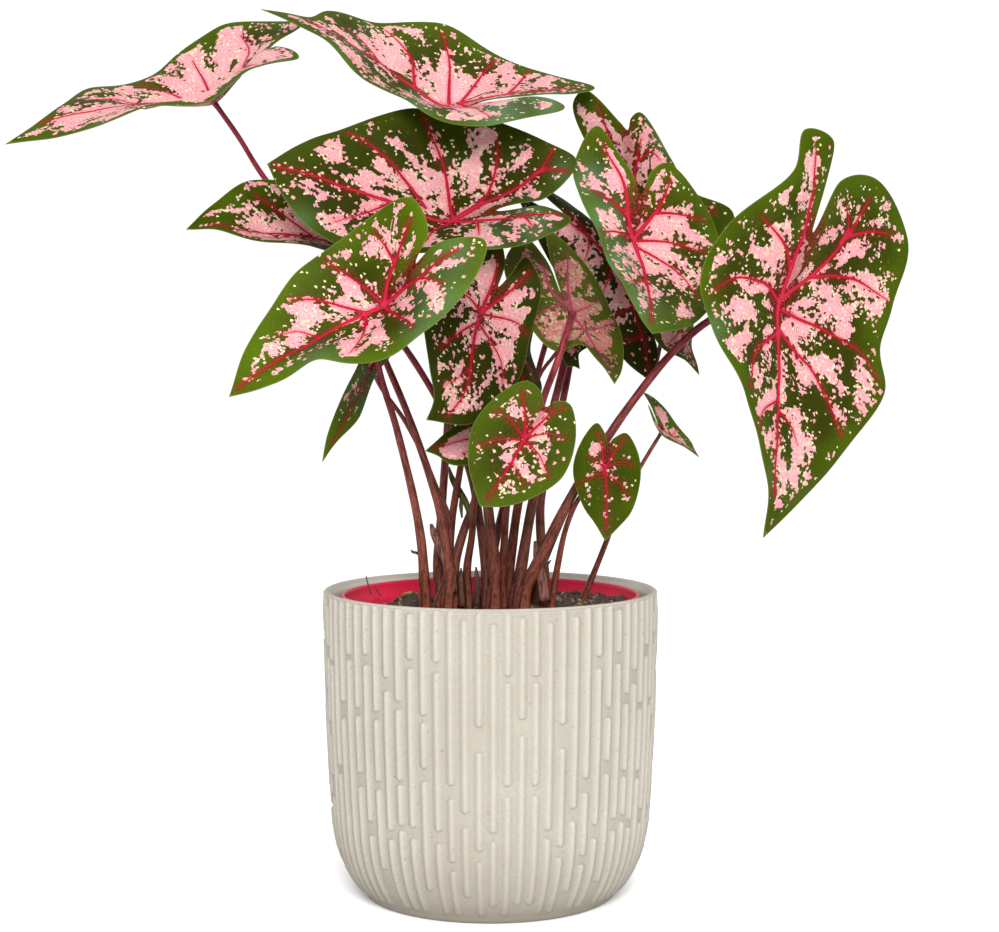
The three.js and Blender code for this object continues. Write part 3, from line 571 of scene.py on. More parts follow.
# %% The course of the veins
MAIN = 1.3
SIDE = 0.85
FINE = 0.55
VEINS = {
    "upper_left": [
        (MAIN, (214, 102), (170, 103), (131, 106), (100, 110), (60, 118), (20, 132)),
        (MAIN, (214, 101), (240, 72), (262, 55), (288, 49)), (SIDE, (212, 101), (206, 85), (193, 62)),
        (SIDE, (195, 102), (165, 93), (140, 86)), (SIDE, (160, 103), (120, 100), (95, 101)),
        (FINE, (243, 67), (249, 50), (241, 36)), (FINE, (214, 102), (240, 88), (265, 68)),
    ],
    "crown": [
        (MAIN, (449, 108), (415, 90), (380, 64), (340, 38), (305, 18)),
        (MAIN, (460, 104), (490, 98), (520, 93), (575, 88)), (SIDE, (414, 87), (411, 60), (385, 30)),
        (SIDE, (449, 105), (449, 60), (442, 34)), (SIDE, (460, 104), (485, 72), (497, 60)),
        (SIDE, (508, 95), (520, 82), (530, 72)), (SIDE, (460, 105), (500, 103), (548, 103)),
        (FINE, (463, 106), (480, 112), (490, 118)), (FINE, (380, 64), (365, 45), (345, 27)),
    ],
    "broad_centre": [
        (MAIN, (453, 221), (430, 219), (392, 203), (370, 196), (340, 186), (310, 175), (272, 166)),
        (MAIN, (456, 219), (485, 204), (515, 190), (545, 165), (553, 150)),
        (MAIN, (456, 222), (490, 220), (520, 217), (563, 215)),
        (SIDE, (425, 208), (405, 180), (370, 145), (347, 133)),
        (SIDE, (453, 219), (443, 165), (425, 122), (420, 112)),
        (SIDE, (456, 218), (485, 198), (497, 160), (497, 138)), (SIDE, (535, 174), (552, 170), (568, 172)),
        (FINE, (525, 218), (530, 223), (533, 228)), (FINE, (478, 222), (479, 235)),
        (SIDE, (453, 222), (435, 230), (425, 243)), (FINE, (392, 203), (360, 215), (335, 222)),
    ],
    "left_rear": [
        (MAIN, (338, 243), (310, 238), (270, 234), (240, 230), (210, 225)),
        (SIDE, (312, 236), (290, 220), (270, 205), (256, 197)), (SIDE, (338, 243), (360, 232), (380, 222)),
        (FINE, (290, 236), (262, 238), (245, 236)),
    ],
    "front_left": [
        (MAIN, (384, 306), (366, 314), (345, 324), (320, 338), (270, 366), (237, 388)),
        (MAIN, (384, 305), (388, 283), (395, 262), (405, 235), (410, 220)),
        (MAIN, (384, 305), (402, 290), (420, 278), (457, 250)),
        (SIDE, (366, 313), (340, 306), (315, 300), (290, 300)), (SIDE, (366, 314), (357, 345), (350, 353)),
        (SIDE, (384, 305), (368, 290), (350, 277), (327, 262)), (SIDE, (394, 262), (385, 245), (375, 234)),
        (FINE, (420, 279), (432, 279), (443, 285)), (SIDE, (384, 307), (408, 322), (413, 328)),
        (FINE, (320, 338), (300, 332), (280, 335)),
    ],
    "centre_hanging": [
        (MAIN, (480, 316), (472, 350), (469, 375), (463, 395), (447, 416)),
        (MAIN, (480, 314), (492, 285), (498, 258)), (MAIN, (480, 314), (515, 287), (532, 268)),
        (SIDE, (480, 312), (468, 297), (450, 290)), (SIDE, (478, 322), (462, 331), (440, 348)),
        (SIDE, (482, 314), (517, 323), (525, 333)), (SIDE, (480, 325), (500, 360), (503, 383)),
        (FINE, (470, 368), (455, 380), (444, 386)),
    ],
    "turned_back": [
        (MAIN, (572, 316), (594, 348), (611, 376)), (SIDE, (572, 314), (585, 309), (600, 301)),
        (SIDE, (583, 331), (598, 329), (612, 324)), (MAIN, (572, 312), (567, 280), (567, 254)),
        (SIDE, (560, 305), (548, 310), (537, 316)), (MAIN, (568, 307), (550, 290), (543, 268), (540, 250)),
    ],
    "tall_right": [
        (MAIN, (633, 240), (642, 265), (650, 300), (651, 322)),
        (MAIN, (633, 240), (628, 212), (622, 180), (604, 145)),
        (MAIN, (633, 240), (658, 208), (665, 195), (671, 178)), (SIDE, (629, 218), (612, 202), (592, 191)),
        (SIDE, (655, 213), (675, 214), (702, 220)), (SIDE, (635, 241), (665, 242), (705, 252)),
        (SIDE, (637, 248), (660, 260), (680, 275), (698, 297)), (SIDE, (632, 238), (615, 232), (600, 232)),
        (FINE, (645, 280), (632, 282), (622, 276)),
    ],
    "far_right": [
        (MAIN, (778, 303), (777, 335), (779, 370), (776, 450), (773, 495)),
        (1.25, (779, 303), (793, 262), (808, 215), (816, 152)),
        (1.25, (779, 300), (815, 272), (845, 240), (869, 200)), (SIDE, (790, 270), (786, 248), (762, 217)),
        (SIDE, (845, 238), (868, 232), (894, 234)), (SIDE, (840, 243), (848, 225), (846, 205)),
        (SIDE, (812, 277), (835, 276), (858, 281), (887, 300)),
        (SIDE, (777, 300), (767, 285), (755, 280), (735, 278), (713, 290)),
        (SIDE, (777, 333), (765, 342), (755, 352), (750, 387)),
        (SIDE, (781, 310), (800, 320), (825, 331), (860, 353), (878, 379)),
        (SIDE, (779, 330), (795, 352), (815, 376), (841, 436)), (FINE, (778, 400), (762, 412), (757, 430)),
        (FINE, (778, 410), (790, 425), (797, 445)),
    ],
    "rear_right": [
        (MAIN, (634, 195), (652, 225), (672, 258), (697, 300)), (MAIN, (634, 193), (618, 160), (598, 105)),
        (MAIN, (634, 193), (636, 170), (641, 140)), (SIDE, (640, 160), (652, 152), (660, 160)),
        (SIDE, (640, 203), (675, 200), (715, 212)), (SIDE, (612, 140), (600, 140), (590, 132)),
    ],
    "dark_edge": [
        (MAIN, (588, 236), (606, 256), (618, 276), (630, 300), (645, 345), (648, 372)),
        (MAIN, (588, 236), (560, 215), (533, 197)), (SIDE, (590, 238), (588, 250), (584, 263)),
        (SIDE, (611, 268), (607, 283), (602, 293)), (SIDE, (632, 306), (625, 311), (617, 314)),
        (SIDE, (643, 336), (634, 339), (625, 340)), (SIDE, (588, 236), (578, 222), (566, 212)),
    ],
    "small_rear": [
        (MAIN, (668, 290), (683, 333), (697, 370)), (SIDE, (668, 290), (655, 300), (650, 312)),
        (SIDE, (670, 295), (682, 292), (690, 300)), (SIDE, (682, 330), (674, 338), (668, 345)),
    ],
    "folded_right": [
        (MAIN, (663, 430), (680, 442), (697, 455)), (SIDE, (662, 429), (656, 414), (648, 400)),
        (FINE, (672, 436), (678, 430), (681, 430)),
    ],
    "small_heart_right": [
        (MAIN, (605, 470), (607, 495), (606, 530)), (MAIN, (604, 469), (602, 450), (598, 432)),
        (MAIN, (605, 469), (612, 455), (625, 438)), (SIDE, (604, 470), (598, 461), (590, 457)),
        (SIDE, (605, 469), (620, 462), (632, 465)), (SIDE, (604, 474), (590, 477), (580, 484)),
        (SIDE, (605, 474), (618, 482), (628, 495)),
    ],
    "heart_front": [
        (MAIN, (524, 440), (512, 462), (498, 484), (488, 499)), (MAIN, (525, 438), (525, 415), (522, 392)),
        (MAIN, (526, 437), (540, 424), (553, 412), (563, 408)), (SIDE, (527, 438), (545, 434), (565, 438)),
        (SIDE, (525, 442), (537, 452), (548, 476)), (SIDE, (520, 440), (500, 440), (480, 446)),
        (SIDE, (522, 436), (510, 420), (496, 411)), (FINE, (512, 462), (520, 475), (524, 485)),
    ],
    "folded_left": [
        (MAIN, (372, 366), (362, 386), (350, 408), (330, 446)), (SIDE, (372, 366), (374, 355), (374, 345)),
        (FINE, (362, 384), (352, 392), (346, 400)), (FINE, (360, 390), (366, 396), (364, 406)),
    ],
    "low_left": [
        (MAIN, (492, 434), (468, 439), (432, 449)), (SIDE, (480, 436), (470, 428), (460, 426)),
        (SIDE, (482, 437), (475, 446), (462, 455)), (MAIN, (492, 434), (502, 424), (511, 418)),
    ],
    "shaded_centre": [
        (MAIN, (518, 336), (522, 376), (529, 410)), (SIDE, (519, 340), (506, 356), (500, 368)),
        (SIDE, (521, 360), (530, 368), (534, 380)), (MAIN, (518, 336), (508, 322), (502, 310)),
    ],
    "small_dark": [
        (MAIN, (572, 332), (574, 348), (579, 364)), (SIDE, (573, 336), (567, 342), (563, 350)),
        (SIDE, (573, 336), (581, 340), (587, 344)),
    ],
}

print("vein widths:", MAIN, SIDE, FINE, "mm")

# %% Lay the veins on the flat blades
VEIN_SPACING = 1.6
SEARCH_SPACING = 2.5
PROBE = 0.1
FREE_OF_MARGIN = 1.6


def flat_line(blade, marks):
    """The flat spots of a blade behind these marks: the nearest of a lattice, then a few Newton steps."""
    spots = lattice(blade.outline, SEARCH_SPACING)
    spots = spots[inside(spots, blade.outline)]
    shown = seen(blade.at(spots))
    line = []
    for mark in marks:
        off = ((shown - mark) ** 2).sum(1)
        if line:
            off += 0.05 * ((spots - line[-1]) ** 2).sum(1)
        spot = spots[off.argmin()]
        for _ in range(8):
            around = seen(blade.at(spot + PROBE * np.array([[0, 0], [1, 0], [0, 1]])))
            slope = (around[1:] - around[0]).T / PROBE
            step = np.linalg.solve(slope.T @ slope + 0.3 * np.eye(2), slope.T @ (mark - around[0]))
            spot = spot + step * min(1, 1.5 / max(np.linalg.norm(step), 1e-9))
        line.append(spot)
    return even(flowing(line, 10), VEIN_SPACING)


def lay_veins(blade, drawn):
    """Each vein as its width and its flat line, cut off before it reaches the margin."""
    laid = []
    for width, *marks in drawn:
        line = flat_line(blade, np.array(marks, float))
        free = inside(line, blade.outline) & (distance_to(line, blade.outline)[0] > FREE_OF_MARGIN)
        count = len(line) if free.all() else free.argmin()
        if count > 2:
            laid.append((width, line[:count]))
    return laid


VEIN_LINES = {name: lay_veins(blade, VEINS[name]) for name, blade in BLADES.items()}
print("veins:", sum(map(len, VEIN_LINES.values())))

# %% [markdown]
# ## The blade's mesh
# A grid laid over a heart leaves ragged edges, and a vein that crosses its squares looks like stairs. A
# Delaunay triangulation can be told to keep certain edges, here the margin and the middle of every vein,
# and it fills the rest with even triangles. The upper side is quilted between the veins, the underside
# carries them as ribs, and a narrow wall closes the margin. Each corner keeps its distance to the veins and
# to the margin, which the finishes read.

# %% Mesh one blade
HALF_THICKNESS = 0.24
QUILT = 0.75
RIPPLE = 0.5
EDGE_WAVE = 0.9
VEIN_RIB = 0.5
UV_SPREAD = 0.01


def ripples(flat, seed, wavelength):
    """Gentle waves in a few chance directions, between -1 and 1."""
    chance = np.random.default_rng(seed)
    waves = 0
    for _ in range(5):
        turn, shift, stretch = chance.uniform(0, math.tau, 2).tolist() + [chance.uniform(0.7, 1.4)]
        along = flat @ np.array([math.cos(turn), math.sin(turn)])
        waves = waves + np.sin(along * math.tau / wavelength * stretch + shift) / 5
    return waves


def triangulate(outline, lines, spacing):
    """Even triangles inside an outline that keep the outline and the lines as edges."""
    margin = even(outline, spacing)[:-1]
    spots = lattice(outline, spacing)
    spots = spots + ripples(spots, 3, 3.1)[:, None] * spacing * 0.2
    spots = spots[inside(spots, outline)]
    for line in (np.vstack([margin, margin[:1]]), *lines):
        spots = spots[distance_to(spots, line)[0] > spacing * 0.62]
    points, edges = [margin], []
    count = len(margin)
    for line in lines:
        edges += [(count + step, count + step + 1) for step in range(len(line) - 1)]
        points.append(line)
        count += len(line)
    points = np.vstack([*points, spots])
    loop = list(range(len(margin)))
    made = delaunay_2d_cdt([Vector(point) for point in points], edges, [loop], 1, 1e-5, False)
    flat, faces = np.array(made[0]), np.array(made[2])
    return flat, faces[inside(flat[faces].mean(1), outline)]


def patched(blade, flat, patches):
    """The sum of soft round patches, each with its middle on the elevation, its width and its strength."""
    amount = np.zeros(len(flat))
    for column, row, width, strength in patches:
        off = np.linalg.norm(seen(blade.at(flat)) - [column, row], axis=1) / width
        amount += strength * np.exp(-(off**2))
    return amount


def blush(blade, name, flat):
    """How readily each spot turns pink: most in the middle, and as the leaf's own patches say."""
    size = math.sqrt(blade.area)
    from_heart = np.linalg.norm((flat + [0, 0.12 * size]) * [1.15, 0.8], axis=1) / size
    amount = SHADE[name][0] + 0.16 - 0.42 * from_heart**1.5
    return amount + patched(blade, flat, PATCHES.get(name, ()))


def vein_field(veins, flat, size):
    """How far each spot is inside a vein, below zero outside, and the doubled way of the veins around it."""
    inner, way = np.full(len(flat), -9.0), np.zeros((len(flat), 2))
    for width, line in veins:
        off, part, run = distance_to(flat, line)
        inner = np.maximum(inner, width * min(1, size / 85) * (1 - 0.72 * part) - off)
        turn = 2 * np.arctan2(run[:, 1], run[:, 0])
        way += (1 / (off + 1.5) ** 2)[:, None] * np.stack([np.cos(turn), np.sin(turn)], 1)
    return inner, way / (np.linalg.norm(way, axis=1, keepdims=True) + 1e-9)


def both_sides(blade, flat, rim, inner, number):
    """Corners of the upper side and the underside: waves and quilting, and ribs under the veins."""
    size = math.sqrt(blade.area)
    pillow = 1 - np.exp(-((np.minimum(inner, 0) / 4.5) ** 2))
    relief = (QUILT * pillow + RIPPLE * ripples(flat, number, 17)) * (1 - np.exp(-rim / 4))
    wave = EDGE_WAVE * ripples(flat, number + 50, 26) * np.exp(-rim / 8)
    rise = (relief + wave) * min(1, size / 60)
    half = HALF_THICKNESS * (0.45 + 0.55 * np.minimum(1, rim / 2))
    rib = VEIN_RIB * np.clip(inner / 0.8 + 0.5, 0, 1)
    out, middle = blade.facing(flat), blade.at(flat)
    return middle + out * (rise + half)[:, None], middle + out * (rise - half - rib)[:, None]


def blade_mesh(name, number):
    blade, veins = BLADES[name], VEIN_LINES[name]
    size = math.sqrt(blade.area)
    spacing = min(1.45, max(0.75, size / 56))
    flat, faces = triangulate(blade.outline, [even(line, spacing) for _, line in veins], spacing)
    rim = distance_to(flat, np.vstack([blade.outline, blade.outline[:1]]))[0]
    inner, way = vein_field(veins, flat, size)
    upper, under = both_sides(blade, flat, rim, inner, number)
    used = {(start, end) for face in faces.tolist() for start, end in zip(face, face[1:] + face[:1])}
    total = len(flat)
    walls = [(a, a + total, b + total, b) for a, b in sorted(used) if (b, a) not in used]
    all_faces = [*faces.tolist(), *(faces[:, ::-1] + total).tolist(), *walls]
    slots = [0] * len(faces) + [1] * len(faces) + [0] * len(walls)
    to_sinus = distance_to(flat, np.array([[0.0, 0], blade.flat["sinus"] * 1.1]))[0]
    each = {
        "vein": inner,
        "rim": np.minimum(rim, 30),
        "blush": blush(blade, name, flat),
        "heart": np.exp(-((to_sinus / (0.055 * size)) ** 2)),
        "grain": np.c_[way, np.zeros(total)],
        # painted shade: how much darker a leaf lying in shade inside the plant is painted
        "painted_shade": np.full(total, SHADE[name][1]),
        # painted sheen: where a greyish reflection of the light is painted into the green
        "sheen": patched(blade, flat, SHEEN.get(name, ())),
    }
    numbers = {label: np.concatenate([values, values]) for label, values in each.items()}
    mesh = make_mesh(name, np.vstack([upper, under]), all_faces, [leaf_top, leaf_under], slots, numbers)
    corners = np.empty(len(mesh.loops), int)
    mesh.loops.foreach_get("vertex_index", corners)
    flat_map = mesh.uv_layers.new(name="UVMap")
    flat_map.data.foreach_set("uv", (np.tile(flat, (2, 1))[corners] * UV_SPREAD + 3.7 * number).ravel())
    mesh.set_sharp_from_angle(angle=math.radians(50))
    return mesh


# %% [markdown]
# ## The finish of the leaves
# Pink shows where the green cells are missing. The missing patches run along the side veins and their edges
# follow the cells, so they look torn rather than blurred. Plain noise gives round clouds. Here the noise is
# read at the middle of the nearest Voronoi cell, which makes its edges angular, and it is stretched along
# the veins: four stretched noises are weighed by the way of the veins at each spot, so no seam shows where
# it turns.

# %% Pattern shared by the upper side and the underside
CELL_SIZE = 1.25
PATCH_LONG = 21
PATCH_WIDE = 7
GREEN_BAND = 3.2


def leaf_finish(name, greens, pinks, veins, halo):
    finish = Finish(name)
    flat = finish.node("ShaderNodeUVMap", {"uv_map": "UVMap"}, {})
    spread = finish.node("ShaderNodeVectorMath", {"operation": "SCALE"}, {0: flat, 3: 1 / UV_SPREAD})
    wobble = finish.node("ShaderNodeTexNoise", {"noise_dimensions": "2D"}, {0: spread, 2: 0.9, 3: 1.0}, 1)
    moved = finish.node("ShaderNodeVectorMath", {"operation": "ADD"}, {0: spread, 1: wobble})
    settings = {"voronoi_dimensions": "2D", "feature": "F1"}
    inputs = {"Vector": moved, "Scale": 1 / CELL_SIZE}
    cell = finish.node("ShaderNodeTexVoronoi", settings, inputs, "Position")
    chance = finish.parts(Socket(finish, cell.output.node.outputs["Color"]))
    off_middle = Socket(finish, cell.output.node.outputs["Distance"])
    across, along, _ = finish.parts(cell)
    turns = finish.parts(finish.reading("grain", "Vector"))
    pattern = 0
    for number, weight in enumerate((turns[0], turns[1], -turns[0], -turns[1])):
        angle = number * math.pi / 4
        ahead = across * (math.cos(angle) / PATCH_LONG) + along * (math.sin(angle) / PATCH_LONG)
        aside = along * (math.cos(angle) / PATCH_WIDE) - across * (math.sin(angle) / PATCH_WIDE)
        streak = finish.clouds(finish.vector(ahead, aside, number * 5.0), 1, 3, 0.62)
        share = weight.cap()
        pattern = share * share * streak + pattern
    broad = finish.clouds(spread, 0.045, 1)
    rim, vein = finish.reading("rim"), finish.reading("vein")
    blush_here, heart = finish.reading("blush"), finish.reading("heart")

    band = ((GREEN_BAND + (broad - 0.5) * 12 - rim) * 0.4).cap()
    score = (pattern - 0.5) * 3.4 + (broad - 0.5) * 0.8 + blush_here - band * 1.3
    score = score + (chance[0] - 0.5) * 0.24 + (chance[1] > 0.95) * 0.5 - (chance[2] > 0.96) * 0.45
    fleck = (chance[2] > 0.86) * off_middle.to(0.42, 0.34) * (chance[0] + score * 0.7).to(0.2, 0.35)
    pink = (score.to(-0.012, 0.012) + fleck).cap()

    fine = finish.clouds(spread, 1.1, 2, 0.6)
    depth = rim.to(16, 0.5) * 0.6 + (broad - 0.5) * 1.2 + (fine - 0.5) * 0.5 + 0.1
    green = finish.paint(depth.cap(), colour(greens[0]), colour(greens[1]))
    green = finish.paint(finish.clouds(spread, 0.35, 3, 0.7).to(0.6, 0.72) * 0.5, green, colour(greens[2]))
    # Painted shade: the green of a leaf lying in shade is painted darker.
    green = finish.paint(finish.reading("painted_shade") * 0.8, green, colour("#2c3200"))
    # Painted sheen: a greyish reflection of the light is painted into the green where SHEEN has spots.
    painted_sheen = finish.reading("sheen") * (0.55 + fine * 0.5)
    green = finish.paint(painted_sheen.cap() * 0.8, green, colour("#6f9a6c"))
    green = finish.paint(rim.to(0.5, 0.1) * 0.5, green, colour(greens[3]))

    settings["feature"] = "DISTANCE_TO_EDGE"
    net = finish.node("ShaderNodeTexVoronoi", settings, {"Vector": moved, "Scale": 0.55})
    shade = (score * 0.6 + (fine - 0.5) * 1.6 + (broad - 0.5) * 0.8 + 0.12).cap()
    rosy = finish.paint(shade, colour(pinks[0]), colour(pinks[1]))
    # A pale net of fine veins over the pink, laid on strongly enough to serve also as a painted highlight on
    # the raised cells.
    rosy = finish.paint(net.to(0.1, 0.0) * 0.65, rosy, colour(pinks[2]))
    cream = (chance[1] > 0.6) * score.to(0.3, 0.05) * (broad > 0.5)
    rosy = finish.paint((cream * 0.7 + fleck).cap(), rosy, colour(pinks[3]))
    skin = finish.paint(pink, green, rosy)

    brown = finish.paint(fine.to(0.44, 0.56), colour(halo[0]), colour(halo[1]))
    beside_veins = vein.to(-3.0, -0.1) * (1 - pink) * 0.65 * fine.to(0.3, 0.6)
    # The painted shade also dulls the warm colour at the heart.
    warm = heart * (1 - pink * 0.4) * (1 - finish.reading("painted_shade") * 0.3) + beside_veins
    skin = finish.paint(warm.cap(), skin, brown)
    skin = finish.paint(vein.to(-1.5, 0) * pink * 0.55, skin, colour(halo[2]))

    ragged = vein + (finish.clouds(spread, 1.6, 2, 0.6) - 0.5) * 0.75
    line = finish.paint(fine, colour(veins[0]), colour(veins[1]))
    line = finish.paint(ragged.to(0.25, 0.9) * 0.6, line, colour(veins[2]))
    skin = finish.paint(ragged.to(-0.06, 0.1), skin, line)
    # Painted shade: the whole skin of a leaf lying in shade is painted darker.
    skin = finish.paint(finish.reading("painted_shade") * 0.22, skin, colour("#1c1004"))

    height = net.to(0, 0.2) * 0.35 + fine * 0.5 - vein.to(-0.6, 0.3) * 1.4
    finish.set(Base_Color=skin, Roughness=0.5 - shade * 0.08 + (fine - 0.5) * 0.25)
    finish.set(Normal=finish.bump(height, 0.45, 0.35), Specular_IOR_Level=0.03)
    return finish


leaf_top = leaf_finish(
    "caladium_leaf",
    greens=("#383c00", "#567008", "#84881e", "#7c8c40"),
    pinks=("#f2979e", "#ffbcbe", "#ffe2de", "#f6e6c0"),
    veins=("#a00420", "#c81436", "#e03e56"),
    halo=("#45160a", "#93261f", "#ee6a78"),
)
leaf_under = leaf_finish(
    "caladium_leaf_underside",
    greens=("#4c5210", "#626f22", "#7e8034", "#96a048"),
    pinks=("#b46662", "#cc8a80", "#daa296", "#cdbd92"),
    veins=("#9c3446", "#ad4a58", "#b9606a"),
    halo=("#5d3a2a", "#84504a", "#bd6672"),
)
print("leaf finishes:", len(leaf_top.nodes.nodes), "nodes each")

# %% [markdown]
# ## Which parts turn pink
# The share of pink differs from leaf to leaf: the broad leaves are half pink, the young hearts low down are
# green with a pink middle. `SHADE` has each leaf's readiness to turn pink and the strength of a painted
# shade that darkens a leaf lying in shade inside the plant. A few soft spots, given by column, row, width
# and strength, say in `PATCHES` where a leaf is pinker (above zero) or greener (below), and in `SHEEN`
# where a greyish painted sheen stands for the reflection of the light.

# %% Pinkness of the leaves
# Each leaf: its readiness to turn pink, and the strength of its painted shade.
SHADE = {
    "upper_left": (0.02, 0.3), "crown": (-0.1, 0.3), "broad_centre": (-0.18, 0.75),
    "left_rear": (-0.12, 0.4), "front_left": (-0.2, 0.0), "centre_hanging": (-0.08, 1.1),
    "turned_back": (-0.05, 0.4), "tall_right": (-0.08, 0.2), "far_right": (-0.2, 0.35),
    "rear_right": (0.0, 0.5), "dark_edge": (-0.1, 1.25), "small_rear": (0.1, 0.0),
    "folded_right": (0.0, 0.0), "small_heart_right": (-0.55, 0.4), "heart_front": (-0.3, 0.35),
    "low_left": (0.1, 0.7), "folded_left": (-0.5, 0.0), "shaded_centre": (-0.8, 1.2),
    "small_dark": (-0.2, 1.0),
}
